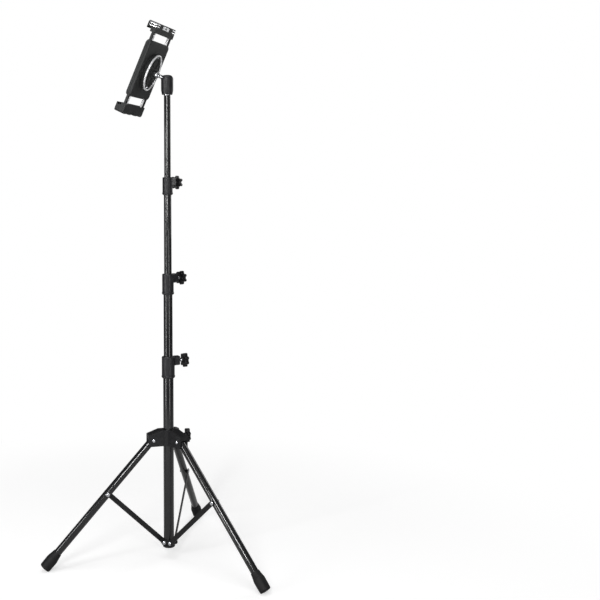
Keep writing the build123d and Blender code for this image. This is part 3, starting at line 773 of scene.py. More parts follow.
@dataclass(frozen=True)
class Metal:
    """Bare or plated metal with a fine tooth and faint clouding.

    Attributes:
        colour: Base colour.
        dull: Colour where the plating is clouded.
        roughness: Mean roughness.
        bare: Share of bare metal, less than 1 under a pale lacquer.
        cloud: Clouds per metre.
        tooth: Cells of the fine tooth per metre.
        tooth_depth: Depth of the tooth, in metres.
    """

    colour: Triple
    dull: Triple
    roughness: float
    bare: float = 1.0
    cloud: float = 60.0
    tooth: float = 900.0
    tooth_depth: float = 0.00001

    def dress(self, sheet: FinishSheet) -> None:
        """Adds the metal's nodes.

        Args:
            sheet: Sheet of the material.
        """
        cloud = sheet.noise(self.cloud, 3.0)
        sheet.set(Base_Color=sheet.blend(cloud.over(0.55, 0.2), self.colour, self.dull),
                  Metallic=self.bare, Roughness=self.roughness - 0.03 + cloud * 0.08,
                  Normal=sheet.bump(sheet.noise(self.tooth, 2.0), 0.12, self.tooth_depth))


RECIPES: dict[Finish, Paint | Moulding | Metal] = {
    Finish.BLACK_PAINT: Paint((0.0055, 0.0055, 0.0062), 0.20, coat=0.8, shine=0.3),
    Finish.STRIP_PAINT: Paint((0.0055, 0.0055, 0.006), 0.38, coat=0.15, shine=0.25),
    Finish.HUB_PLASTIC: Moulding((0.009, 0.009, 0.010), 0.42, grain=1100.0),
    Finish.SATIN_PLASTIC: Moulding((0.012, 0.012, 0.014), 0.38, grain=1300.0, shine=0.4),
    Finish.KNOB_PLASTIC: Moulding((0.006, 0.006, 0.007), 0.34, grain=900.0),
    Finish.HOLDER_PLASTIC: Moulding((0.022, 0.023, 0.023), 0.48, grain=1700.0, grain_depth=0.0001),
    Finish.FOOT_RUBBER: Moulding((0.005, 0.005, 0.0055), 0.6, grain=900.0, grain_depth=0.00012),
    Finish.PAD_RUBBER: Moulding((0.018, 0.018, 0.019), 0.75, grain=1400.0, shine=0.2),
    Finish.ZINC: Metal((0.74, 0.75, 0.78), (0.55, 0.56, 0.58), 0.24),
    Finish.CHROME: Metal((0.88, 0.89, 0.90), (0.80, 0.81, 0.83), 0.10),
    Finish.BRASS: Metal((0.72, 0.56, 0.28), (0.55, 0.42, 0.20), 0.28),
    Finish.SILVER_TRIM: Metal((0.86, 0.87, 0.88), (0.76, 0.77, 0.79), 0.26),
    Finish.SATIN_CHROME: Metal((0.97, 0.97, 0.98), (0.93, 0.93, 0.95), 0.36, bare=0.5),
    Finish.NYLON: Moulding((0.72, 0.71, 0.66), 0.5, scuff=0.1),
}


class FinishCupboard:
    """Makes each finish's material once."""

    def __init__(self) -> None:
        """Starts empty."""
        self.made: dict[Finish, bpy.types.Material] = {}

    def material(self, finish: Finish) -> bpy.types.Material:
        """Material of a finish, made on its first use.

        Args:
            finish: The finish.

        Returns:
            Its material.
        """
        if finish not in self.made:
            sheet = FinishSheet(finish.value)
            RECIPES[finish].dress(sheet)
            self.made[finish] = sheet.material
        return self.made[finish]

    def dress(self, piece: bpy.types.Object, finish: Finish) -> None:
        """Gives a piece one finish all over."""
        piece.data.materials.clear()
        piece.data.materials.append(self.material(finish))

    def dress_node(self, node: str, finish: Finish) -> None:
        """Gives a CAD node that stays in view its finish, in the slots that it has.

        Args:
            node: Name of the node.
            finish: Its finish.
        """
        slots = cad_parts[node].data.materials
        if not slots:
            slots.append(self.material(finish))
        for i in range(len(slots)):
            slots[i] = self.material(finish)


CUPBOARD = FinishCupboard()


def hand_over(piece: bpy.types.Object, body: str, finish: Finish, slot: str, *nodes: str) -> None:
    """Dresses a piece, lets it ride on its body and lets it stand for its CAD nodes.

    Args:
        piece: The finished piece.
        body: Body that it moves with.
        finish: Its finish.
        slot: Name of a material slot; not used.
        *nodes: CAD nodes that it replaces.
    """
    CUPBOARD.dress(piece, finish)
    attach(piece, body)
    if nodes:
        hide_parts(*nodes)
    log.info("%s rides on %s", piece.name, body)


# Repeated forms


def tube_wall(spot: Spot, radius: float, wall: float, length: float, rim: float = 0.3) -> Surface:
    """Hollow round tube: a closed wall profile with rounded rims, turned about w.

    Args:
        spot: Axes at the lower end.
        radius: Outer radius.
        wall: Thickness of the wall.
        length: Length along w.
        rim: Radius of the rims.

    Returns:
        The surface, in metres.
    """
    inner = radius - wall
    profile = rounded_corners([(inner, 0, rim), (radius, 0, rim), (radius, length, rim),
                               (inner, length, rim)], closed=True, steps=4)
    return lathe(spot, profile, 96, closed=True)


def round_bar(spot: Spot, radius: float, length: float, rim: float = 0.4) -> Surface:
    """Solid round bar: half its outline with rounded rims, turned about w.

    Args:
        spot: Axes at the lower end.
        radius: Radius of the bar.
        length: Length along w.
        rim: Radius of the rims.

    Returns:
        The surface, in metres.
    """
    profile = rounded_corners([(0, 0, 0), (radius, 0, rim), (radius, length, rim), (0, length, 0)],
                              steps=5)
    return lathe(spot, profile, 48)


@dataclass(frozen=True)
class Thread:
    """Size of a screw thread.

    Attributes:
        radius: Radius over the crests.
        pitch: Rise in one turn.
        depth: Depth of the groove.
    """

    radius: float
    pitch: float
    depth: float

    def bar(self, spot: Spot, length: float) -> Surface:
        """Threaded bar: the radius falls by a triangle wave of height over pitch less turns.

        The wave fades out over half a pitch at both ends, which are chamfered.

        Args:
            spot: Axes at the lower end.
            length: Length along w.

        Returns:
            The surface, in metres.
        """
        rows = int(length / self.pitch * 8) + 2
        core = self.radius - self.depth
        side = np.stack([np.full(rows, self.radius), np.linspace(0, length, rows)], axis=1)
        profile = np.concatenate([[[0.0, 0.0], [core, 0.0]], side, [[core, length], [0.0, length]]])

        def cut(r: Array, s: Array, t: Array) -> Array:
            """Radius with the helical groove taken off.

            Args:
                r: Radius.
                s: Height.
                t: Angle.

            Returns:
                The radius at each point.
            """
            wave = np.abs(2 * ((s / self.pitch - t / TURN) % 1.0) - 1)
            fade = smooth_step(np.minimum(s, length - s) / (0.5 * self.pitch))
            grooved = r - self.depth * (wave * fade + (1 - fade))
            return np.where(r >= self.radius - 1e-9, grooved, r)

        return lathe(spot, profile, 40, shape=cut)


CLAMP_THREAD = Thread(3.0, 1.0, 0.45)
HOLDER_THREAD = Thread(3.1, 1.27, 0.5)


def domed_head(spot: Spot, radius: float, height: float) -> Surface:
    """Rivet head: an elliptical dome with a small dimple in its middle.

    The height over radius share q is height times the root of 1 - q squared, less the dimple.

    Args:
        spot: Axes at the foot of the dome.
        radius: Radius of the head.
        height: Height of the dome.

    Returns:
        The surface, in metres.
    """
    q = np.cos(np.linspace(0, math.pi / 2, 14))
    dome = height * np.sqrt(np.clip(1 - q ** 2, 0, 1)) - 0.35 * np.exp(-(q / 0.22) ** 2)
    profile = np.concatenate([[[0.0, 0.0]], np.stack([radius * q, dome], axis=1)])
    profile[-1, 0] = 0.0
    return lathe(spot, profile, 48)


def cross_screw(spot: Spot, radius: float, tall: float) -> Surface:
    """Pan head with a cross recess: a polar sheet whose height is a dome less two crossed slots.

    Args:
        spot: Axes, with w into the piece that carries the screw.
        radius: Radius of the head.
        tall: Height of the head.

    Returns:
        The surface, in metres.
    """
    q, t = np.meshgrid(np.linspace(0, 1, 25), full_turn(96), indexing="ij")
    x, y = radius * q * np.cos(t), radius * q * np.sin(t)
    dome = tall * np.sqrt(np.clip(1 - 0.75 * q ** 2, 0, 1)) * np.where(q > 0.999, 0.5, 1.0)
    arm = np.minimum(np.abs(x), np.abs(y)) / radius
    slot, slot_soft, reach, reach_soft = 0.16, 0.055, 0.58, 0.12
    cross = smooth_step((slot - arm) / slot_soft) * smooth_step((reach - q) / reach_soft)
    top = np.stack([x, y, -(dome - 0.57 * tall * cross)], axis=-1)
    ring = top[-1:] * np.array([1.0, 1.0, 0.0])
    return Surface.on_grid(spot, np.concatenate([top, ring, ring * 0.0]))


# Sub-assemblies


@dataclass
class Column:
    """The four telescoping tubes, with the plug that joins the head.

    Attributes:
        radii: Outer radius of each tube, from the floor up.
        walls: Their wall thicknesses.
        bottoms: Heights of their lower ends.
        tops: Heights of their upper ends.
        shoulder: Thickness of the head plug's rim on the top tube.
        stud: Length of the plug's thread.
        plug_radius: Radius of the plug inside the tube.
        plug_depth: Depth of the plug in the tube.
    """

    radii: tuple[float, ...] = (11.0, 9.5, 8.0, 7.0)
    walls: tuple[float, ...] = (1.2, 1.2, 0.7, 1.0)
    bottoms: tuple[float, ...] = (41.0, 215.0, 420.0, 620.0)
    tops: tuple[float, ...] = (411.5, 587.3, 793.0, 983.0)
    shoulder: float = 2.0
    stud: float = 8.0
    plug_radius: float = 5.9
    plug_depth: float = 14.0

    def build(self) -> None:
        """Makes the tubes and the head plug."""
        names = ("outer_tube", "second_tube", "third_tube", "top_tube")
        bodies = ("column", "section_2", "section_3", "section_4")
        for name, body, radius, wall, bottom, top in zip(names, bodies, self.radii, self.walls,
                                                         self.bottoms, self.tops):
            surface = tube_wall(column_spot(bottom), radius, wall, top - bottom)
            hand_over(add_mesh(f"{name}_shell", surface), body, Finish.BLACK_PAINT, "black_paint", name)
        rim = column_spot(self.tops[-1])
        plug = Surface.joined([
            round_bar(rim, self.radii[-1], self.shoulder),
            HOLDER_THREAD.bar(rim.moved(dw=self.shoulder), self.stud),
            round_bar(rim.moved(dw=-self.plug_depth), self.plug_radius, self.plug_depth - 0.1),
        ])
        hand_over(add_mesh("head_plug", plug), "section_4", Finish.ZINC, "bright_steel", "head_stud")


@dataclass
class ClampKnob:
    """A lobed clamp knob with its threaded rod and nylon tip.

    Attributes:
        name: Name of the clamp.
        azimuth: Direction of the clamp screw, in degrees.
        height: Height of the screw's axis.
        rod_start: Distance of the rod's tip from the column axis.
        knob_start: Distance of the knob's neck from the column axis.
        thickness: Depth of the knob with its neck.
        radius: Radius over the lobes.
        lobes: Number of lobes.
        neck: Depth of the neck.
        neck_radius: Radius of the neck where it meets the knob.
        edge: Half the depth of the lobes, and the radius of the front rim.
        back_edge: Radius of the back rim.
        rod_hold: Length of the rod inside the knob.
    """

    name: str
    azimuth: float
    height: float
    rod_start: float
    knob_start: float
    thickness: float
    radius: float = 15.0
    lobes: int = 7
    neck: float = 2.0
    neck_radius: float = 6.0
    edge: float = 1.9
    back_edge: float = 1.2
    rod_hold: float = 7.0

    def outline(self) -> Array:
        """Lobed outline: a mean radius plus a flattened cosine of the lobe angle.

        Returns:
            Counter-clockwise points, (n, 2).
        """
        t = full_turn(self.lobes * 28)
        wave = np.tanh(1.5 * np.cos(self.lobes * t)) / math.tanh(1.5)
        r = self.radius - self.edge + self.edge * wave
        return np.stack([r * np.cos(t), r * np.sin(t)], axis=1)

    def build(self) -> None:
        """Makes the knob, whose face is dished round a low boss, and its rod."""
        face = facing_spot(self.azimuth, self.height, self.knob_start)
        top, edge, back = self.thickness, self.edge, self.back_edge
        stations = [(back, 0.0, self.neck), (back, 0.7, self.neck)]
        stations += rising_rim(self.neck, back, 4) + falling_rim(top, edge, 6)
        dish = ((0.86, 0.1), (0.74, 0.9), (0.55, 1.5), (0.42, 1.5), (0.38, 0.7), (0.30, 0.3), (0.0, 0.2))
        stations += [(edge, share, top - depth) for share, depth in dish]
        sunk = self.neck + 0.4
        neck = rounded_corners([(0, 0, 0), (self.neck_radius - 0.6, 0, 0.4), (self.neck_radius, sunk, 0),
                                (0, sunk, 0)])
        knob = Surface.joined([stack(face, self.outline(), stations), lathe(face, neck, 48)])
        body = f"{self.name}_knob"
        hand_over(add_mesh(f"{self.name}_knob_handle", knob, 50), body, Finish.KNOB_PLASTIC,
                  "black_plastic", body)
        length = self.knob_start + self.neck + self.rod_hold - self.rod_start
        rod = CLAMP_THREAD.bar(facing_spot(self.azimuth, self.height, self.rod_start), length)
        hand_over(add_mesh(f"{self.name}_clamp_rod", rod, 60), body, Finish.ZINC, "bright_steel",
                  f"{self.name}_screw")
        CUPBOARD.dress_node(f"{self.name}_pad", Finish.NYLON)


@dataclass
class ClampCollar:
    """A moulded collar whose sleeve swells into a boss for the clamp screw.

    Attributes:
        name: Name of the collar.
        body: Body that it rides on.
        bottom: Height of its lower end.
        height: Its length.
        carried: Radius of the tube that it sits on.
        passing: Radius of the tube that slides through.
        azimuth: Direction of its boss, in degrees.
        reach: Distance of the boss's face from the column axis.
        width: Width of the boss.
        boss: Height of the boss.
        wall: Thickness of the sleeve round its tube.
        crown: Length of the narrow bore above the carried tube.
        top_round: Radius of the boss's upper edge.
        low_round: Radius of the boss's lower edge.
        corner: Radius of the boss's upright edges.
        fillet: Radius of the fillet between boss and sleeve.
        spread: Half angle that holds the boss, in radians.
        ring: Heights of the lower and upper edge of the sleeve's ring.
        ring_high: How far the ring stands out.
    """

    name: str
    body: str
    bottom: float
    height: float
    carried: float
    passing: float
    azimuth: float
    reach: float = 25.6
    width: float = 15.0
    boss: float = 20.0
    wall: float = 2.75
    crown: float = 16.0
    top_round: float = 2.6
    low_round: float = 4.0
    corner: float = 1.6
    fillet: float = 1.3
    spread: float = 1.15
    ring: tuple[float, float] = (1.6, 5.6)
    ring_high: float = 0.7

    def sleeve_radius(self, s: Array) -> Array:
        """Radius of the sleeve: straight, with a ring near its foot and soft rims.

        Args:
            s: Height on the collar.

        Returns:
            The radius at each height.
        """
        low, high = self.ring
        ring = self.ring_high * smooth_step((s - low) / 0.8) * smooth_step((high - s) / 0.9)
        foot = 0.9 * smooth_step(1 - s / 1.4)
        head = 0.8 * smooth_step((s - self.height + 1.2) / 1.2)
        return self.carried + self.wall + ring - foot - head

    def boss_radius(self, s: Array, t: Array) -> Array:
        """Polar radius of the boss.

        It is half the width over the sine or the reach over the cosine, whichever is less. Width
        and reach shrink by a quarter round near the boss's top and foot, below which it fades out.

        Args:
            s: Height on the collar.
            t: Angle from the boss's middle.

        Returns:
            The radius at each point, 0 away from the boss.
        """
        low = self.height - self.boss
        top = quarter_round(self.height - s, self.top_round)
        foot = quarter_round(s - low, self.low_round)
        half = np.maximum(self.width / 2 - top * 0.8 - foot * 0.7, 0.5)
        reach = self.reach - top * 0.35 - foot * 0.4
        sine = np.maximum(np.abs(np.sin(t)), 1e-3)
        cosine = np.maximum(np.cos(t), 1e-3)
        box = -smooth_max(-half / sine, -reach / cosine, self.corner)
        shoulder = smooth_step((s - (low - 0.8)) / 2.2)
        return np.minimum(np.where(np.cos(t) > 0.05, box, 0.0) * shoulder, self.reach)

    def build(self) -> None:
        """Makes the collar as one closed surface.

        The outer radius at an angle and height is the smooth larger of the sleeve's and the
        boss's. The bore is wide round the carried tube and narrow round the passing one.
        """
        end = self.height - 24
        rows = np.unique(np.concatenate([np.linspace(0, 7, 15), np.linspace(7, end, 8),
                                         np.linspace(end, self.height, 40)]))
        rest = np.linspace(self.spread, TURN - self.spread, 73)[1:-1]
        t = np.concatenate([np.linspace(-self.spread, self.spread, 161), rest])
        s, tt = np.meshgrid(rows, t, indexing="ij")
        r = smooth_max(self.sleeve_radius(s), self.boss_radius(s, tt), self.fillet) - 0.02
        r = np.where(s >= self.height - 1e-9, r - 0.25, r)
        outer = np.stack([r * np.cos(tt), r * np.sin(tt), s], axis=-1)
        narrow, wide = self.passing + 0.3, self.carried + 0.05
        bore = np.array([[narrow, self.height], [narrow, self.height - self.crown + 0.1],
                         [wide, self.height - self.crown], [wide, 0.0]])
        radius, level = (np.repeat(column[:, None], len(t), axis=1) for column in bore.T)
        inner = np.stack([radius * np.cos(t), radius * np.sin(t), level], axis=-1)
        surface = Surface.on_grid(column_spot(self.bottom, self.azimuth),
                                  np.concatenate([outer, inner]), True)
        hand_over(add_mesh(f"{self.name}_collar_moulding", surface, 32), self.body,
                  Finish.SATIN_PLASTIC, "black_plastic", f"{self.name}_collar")


@dataclass
class Leg:
    """One leg with its rubber foot, its brace strip and their rivets.

    Attributes:
        name: Which leg.
        azimuth: Direction of the leg, in degrees.
        angle: Angle from upright, in degrees.
        pivot: Radius and height of the pivot in the hub.
        length: Pivot to the foot's end.
        joint: Pivot to the brace's rivet.
        brace_foot: Radius and height of the brace's lower pivot.
        tube_radius: Outer radius of the tube.
        tube_wall: Thickness of its wall.
        head: Length of the tube above its pivot.
        tread: Thickness of rubber below the tube.
        foot_radius: Largest radius of the foot cap.
        foot_length: Length of the foot cap.
        foot_neck: Length over which the cap draws in to the tube.
        neck_depth: How far it draws in.
        grooves: Distances of the cap's grooves from its end.
        groove: Depth and half width of a groove.
        strip_gap: Distance of the strip from the leg's middle plane.
        strip_half: Half the strip's width.
        strip_thick: Thickness of the strip.
        shank: Radius of the rivets.
        rivet: Radius and height of the rivets' heads.
    """

    name: str
    azimuth: float
    angle: float = 42.85
    pivot: tuple[float, float] = (34.8, 252.6)
    length: float = 336.75
    joint: float = 144.0
    brace_foot: tuple[float, float] = (12.5, 34.5)
    tube_radius: float = 8.0
    tube_wall: float = 1.0
    head: float = 8.6
    tread: float = 6.0
    foot_radius: float = 12.0
    foot_length: float = 40.0
    foot_neck: float = 18.0
    neck_depth: float = 2.3
    grooves: Triple = (33.5, 30.5, 27.5)
    groove: tuple[float, float] = (0.45, 0.55)
    strip_gap: float = 8.8
    strip_half: float = 5.2
    strip_thick: float = 2.0
    shank: float = 2.4
    rivet: tuple[float, float] = (4.4, 1.5)

    def spot(self, along: float) -> Spot:
        """Axes on the leg: w runs to the foot.

        Args:
            along: Distance below the pivot.

        Returns:
            The axes.
        """
        out, tilt = outward(self.azimuth), math.radians(self.angle)
        down = out * math.sin(tilt) - UP * math.cos(tilt)
        side = np.cross(out, UP)
        start = out * self.pivot[0] + UP * self.pivot[1]
        return Spot(start + down * along, side, np.cross(down, side), down)

    def joint_point(self) -> tuple[float, float]:
        """Radius and height of the brace's rivet on the leg."""
        tilt = math.radians(self.angle)
        return (self.pivot[0] + self.joint * math.sin(tilt), self.pivot[1] - self.joint * math.cos(tilt))

    def build(self) -> None:
        """Makes the leg, its foot, its strip and their rivets."""
        body = f"leg_{self.name}"
        tube = tube_wall(self.spot(-self.head), self.tube_radius, self.tube_wall,
                         self.head + self.length - self.tread, 0.5)
        hand_over(add_mesh(f"{body}_tube", tube), body, Finish.BLACK_PAINT, "black_paint", body)
        self.build_foot(body)
        self.build_strip()
        self.build_rivets(body)

    def build_foot(self, body: str) -> None:
        """Makes the foot cap: a cup with three grooves, cut level where it stands.

        The wall's radius is the cap's radius, less a power of the way from its middle, less a
        smooth step that draws in the neck round the tube, less narrow bell-shaped grooves.

        Args:
            body: Body that it moves with.
        """
        long, corner = self.foot_length, 3.0
        bore, flat = self.tube_radius + 0.05, self.foot_radius - corner
        s = np.linspace(-long + 0.6, -corner, 60)
        bulge = self.foot_radius - 0.5 * np.abs(2 * (s + long / 2) / long) ** 1.5
        bulge = bulge - self.neck_depth * smooth_step(1 - (s + long) / self.foot_neck)
        deep, wide = self.groove
        grooves = sum(deep * np.exp(-((s + place) / wide) ** 2) for place in self.grooves)
        wall = np.stack([bulge - grooves, s], axis=1)
        turn = np.linspace(0, math.pi / 2, 9)[1:]
        tip = np.stack([flat + (wall[-1, 0] - flat) * np.cos(turn), -corner + corner * np.sin(turn)], axis=1)
        mouth = [[0.0, -self.tread], [bore, -self.tread], [bore, -long], [wall[0, 0] - 0.4, -long]]
        profile = np.concatenate([mouth, wall, tip, [[4.0, 0.0], [0.0, 0.0]]])
        surface = lathe(self.spot(self.length), profile, 96)
        surface.points[:, 2] = np.maximum(surface.points[:, 2], 0.0)
        hand_over(add_mesh(f"foot_{self.name}_cap", surface), body, Finish.FOOT_RUBBER, "black_rubber",
                  f"foot_{self.name}")

    def build_strip(self) -> None:
        """Makes the brace strip: a stadium outline, turned along the strip, with pressed rims."""
        (r0, z0), (r1, z1) = self.brace_foot, self.joint_point()
        middle = side_spot(self.azimuth, (r0 + r1) / 2, (z0 + z1) / 2, self.strip_gap)
        reach, half = math.hypot(r1 - r0, z1 - z0) / 2, self.strip_half
        arc = np.linspace(-math.pi / 2, math.pi / 2, 17)
        right = np.stack([reach + half * np.cos(arc), half * np.sin(arc)], axis=1)
        run = np.linspace(reach, -reach, 12)[1:-1]
        top = np.stack([run, np.full_like(run, half)], axis=1)
        lean = math.atan2(z1 - z0, r1 - r0)
        turned = np.array([[math.cos(lean), math.sin(lean)], [-math.sin(lean), math.cos(lean)]])
        outline = np.concatenate([right, top, -right, -top]) @ turned
        strip = stack(middle, outline, pillow(0.0, self.strip_thick, 0.35))
        body = f"brace_{self.name}"
        hand_over(add_mesh(f"{body}_strip", strip), body, Finish.STRIP_PAINT, "black_paint", body)

    def build_rivets(self, body: str) -> None:
        """Makes the two halves of the rivet between leg and strip.

        Args:
            body: Body of the leg.
        """
        r1, z1 = self.joint_point()
        brace = f"brace_{self.name}"
        outer = side_spot(self.azimuth, r1, z1, self.strip_gap + self.strip_thick)
        head = Surface.joined([domed_head(outer, *self.rivet),
                               round_bar(outer.moved(dw=-self.strip_thick), self.shank, 2.1)])
        hand_over(add_mesh(f"{brace}_rivet_head", head), brace, Finish.ZINC, "bright_steel",
                  f"brace_rivet_{self.name}")
        inner = side_spot(self.azimuth, r1, z1, -self.tube_radius)
        head = Surface.joined([domed_head(inner.flipped(), *self.rivet),
                               round_bar(inner, self.shank, 2 * self.tube_radius)])
        hand_over(add_mesh(f"{body}_rivet_head", head), body, Finish.ZINC, "bright_steel",
                  f"leg_rivet_{self.name}")


@dataclass
class Tripod:
    """The sliding hub, the lower hub, their rivets and the three legs.

    Attributes:
        azimuths: Direction of each leg, in degrees.
        hub_side: Half width of a hub arm.
        hub_head: Radius of the rivet heads on the hub.
        lug_side: Half width of a lug on the lower hub.
        lug_head: Radius of the rivet heads on the lugs.
        head_height: Height of all these heads.
    """

    azimuths: tuple[tuple[str, float], ...] = (("back", 75.65), ("left", 195.65), ("right", 315.65))
    hub_side: float = 11.3
    hub_head: float = 3.5
    lug_side: float = 8.5
    lug_head: float = 4.0
    head_height: float = 1.5

    def rivet_row(self, at: tuple[float, float], inner: float, outer: float, head: float) -> Surface:
        """Rivets at one place on all three legs, each a shank and two domed heads.

        Args:
            at: Radius and height of the rivets.
            inner: Offset of the near head, clockwise.
            outer: Offset of the far head.
            head: Radius of the heads.

        Returns:
            The surface, in metres.
        """
        parts = []
        for _, azimuth in self.azimuths:
            near = side_spot(azimuth, *at, inner)
            parts += [domed_head(side_spot(azimuth, *at, outer), head, self.head_height),
                      domed_head(near.flipped(), head, self.head_height),
                      round_bar(near, Leg.shank, outer - inner)]
        return Surface.joined(parts)

    def build(self) -> None:
        """Makes both hubs, their rivets and the legs."""
        legs = [Leg(name, azimuth) for name, azimuth in self.azimuths]
        for name, body, edge in (("leg_hub", "hub", 0.7), ("lower_hub", "column", 0.45)):
            hub = moulded_copy(f"{name}_moulding", name, edge)
            hand_over(hub, body, Finish.HUB_PLASTIC, "black_plastic", name)
        rivets = self.rivet_row(Leg.pivot, -self.hub_side, self.hub_side, self.hub_head)
        hand_over(add_mesh("hub_rivet_set", rivets), "hub", Finish.ZINC, "bright_steel", "hub_rivets")
        far = Leg.strip_gap + Leg.strip_thick + 0.05
        rivets = self.rivet_row(Leg.brace_foot, -self.lug_side, far, self.lug_head)
        hand_over(add_mesh("lower_rivet_set", rivets), "column", Finish.ZINC, "bright_steel",
                  "lower_rivets")
        for leg in legs:
            leg.build()


@dataclass
class BallHead:
    """The ball housing with its wing knob, the ball with its stem, and the lock nut.

    Attributes:
        ball_height: Height of the ball's centre.
        tilt: Angle of the stem from upright, in degrees.
        azimuth: Direction of the stem, in degrees.
        wing_azimuth: Direction of the wing knob, in degrees.
        wing_height: Height of the wing knob's axis.
        wing_start: Distance of the wing knob's neck from the head's axis.
        wing_half: Half width and half length of the wing.
        wing_faces: Distances of the wing's two faces from the foot of the neck.
        wing_rod: Distance of the rod's tip from the head's axis, and its length.
        ball_radius: Radius of the ball.
        stem_radius: Radius of the stem.
        stem_end: Distance of the stem's shoulder from the ball.
        stem_thread: Length of the stem's thread.
        nut_radius: Outer radius of the lock nut.
        nut_height: Height of the lock nut.
        knurls: Number of knurls on the lock nut.
    """

    ball_height: float = 1017.0
    tilt: float = 64.6
    azimuth: float = 154.1
    wing_azimuth: float = 84.0
    wing_height: float = 1002.0
    wing_start: float = 13.3
    wing_half: tuple[float, float] = (6.0, 17.0)
    wing_faces: tuple[float, float] = (4.7, 13.7)
    wing_rod: tuple[float, float] = (9.35, 15.0)
    ball_radius: float = 9.0
    stem_radius: float = 4.0
    stem_end: float = 24.0
    stem_thread: float = 25.5
    nut_radius: float = 7.0
    nut_height: float = 13.0
    knurls: int = 36

    def stem_spot(self, h: float, du: float = 0.0, dv: float = 0.0) -> Spot:
        """Axes square to the stem: u runs across, v up the holder and w away from the ball.

        Args:
            h: Distance from the ball along the stem.
            du: Shift across.
            dv: Shift up the holder.

        Returns:
            The axes.
        """
        tilt, out = math.radians(self.tilt), outward(self.azimuth)
        stem = out * math.sin(tilt) + UP * math.cos(tilt)
        across = np.cross(UP, out)
        ball = Spot(UP * self.ball_height, across, np.cross(stem, across), stem)
        return ball.moved(du, dv, h)

    def build(self) -> None:
        """Makes the head's pieces."""
        housing = moulded_copy("ball_housing", "head_housing", 0.6)
        hand_over(housing, "head", Finish.SATIN_PLASTIC, "black_paint", "head_housing")
        CUPBOARD.dress_node("ball_seat", Finish.NYLON)
        self.build_wing()
        turn = np.linspace(-math.pi / 2, math.pi / 2 - 0.46, 26)
        ball = self.ball_radius * np.stack([np.cos(turn), np.sin(turn)], axis=1)
        r, end = self.stem_radius, self.stem_end
        stem = rounded_corners([(*ball[-1], 0), (r, 8.6, 0.8), (r, end - 0.4, 0.3), (r - 0.4, end, 0),
                                (0.0, end, 0)])
        surface = Surface.joined([lathe(self.stem_spot(0), np.concatenate([ball, stem])),
                                  HOLDER_THREAD.bar(self.stem_spot(end - 0.5), self.stem_thread)])
        hand_over(add_mesh("ball_and_stem", surface), "ball", Finish.CHROME, "chrome", "ball_stem")
        self.build_nut()

    def build_wing(self) -> None:
        """Makes the wing knob, with a neck and a boss, and its threaded rod.

        At angle t its outline is the half width times cos t, waisted by the square of cos 2t, and
        the half length times a power of sin t.
        """
        face = facing_spot(self.wing_azimuth, self.wing_height, self.wing_start)
        t = full_turn(96)
        (half, long), (low, high) = self.wing_half, self.wing_faces
        x = half * np.cos(t) * (0.86 + 0.14 * np.cos(2 * t) ** 2)
        y = long * np.sign(np.sin(t)) * np.abs(np.sin(t)) ** 0.85
        neck = rounded_corners([(0, 0, 0), (half, 0, 0.5), (half, 5.5, 0), (0, 5.5, 0)])
        boss = rounded_corners([(0, low, 0), (7.4, low, 0.5), (7.2, 13.4, 1.2), (0, 13.6, 0)])
        wing = Surface.joined([stack(face, np.stack([x, y], axis=1), pillow(low, high, 2.2, 5)),
                               lathe(face, neck, 48), lathe(face, boss, 48)])
        hand_over(add_mesh("wing_knob", wing, 50), "wing", Finish.KNOB_PLASTIC, "black_plastic", "head_knob")
        tip, length = self.wing_rod
        rod = CLAMP_THREAD.bar(face.moved(dw=tip - self.wing_start), length)
        hand_over(add_mesh("wing_rod", rod, 60), "wing", Finish.ZINC, "bright_steel", "head_knob_screw")

    def build_nut(self) -> None:
        """Makes the lock nut: a ring whose rim has fine straight knurls.

        The outer radius falls by a rounded cosine of the knurls times the angle over the middle.
        """
        r, high, bore = self.nut_radius, self.nut_height, HOLDER_THREAD.radius + 0.1
        profile = rounded_corners([(bore, 0, 0.3), (r, 0, 1.0), (r, 4.0, 0), (r, 4.8, 0), (r, 11.6, 0),
                                   (r, high, 1.0), (bore, high, 0.3)], closed=True)

        def knurl(radius: Array, s: Array, t: Array) -> Array:
            """Radius with the knurls cut in.

            Args:
                radius: Radius.
                s: Height.
                t: Angle.

            Returns:
                The radius at each point.
            """
            band = smooth_step((s - 1.4) / 0.5) * smooth_step((11.6 - s) / 0.5)
            wave = 0.35 * band * (0.5 + 0.5 * np.cos(self.knurls * t))
            return np.where(radius > r - 0.1, radius - wave, radius)

        nut = lathe(self.stem_spot(self.stem_end + 0.1), profile, 6 * self.knurls, closed=True, shape=knurl)
        hand_over(add_mesh("lock_nut_ring", nut, 60), "nut", Finish.CHROME, "chrome", "lock_nut")


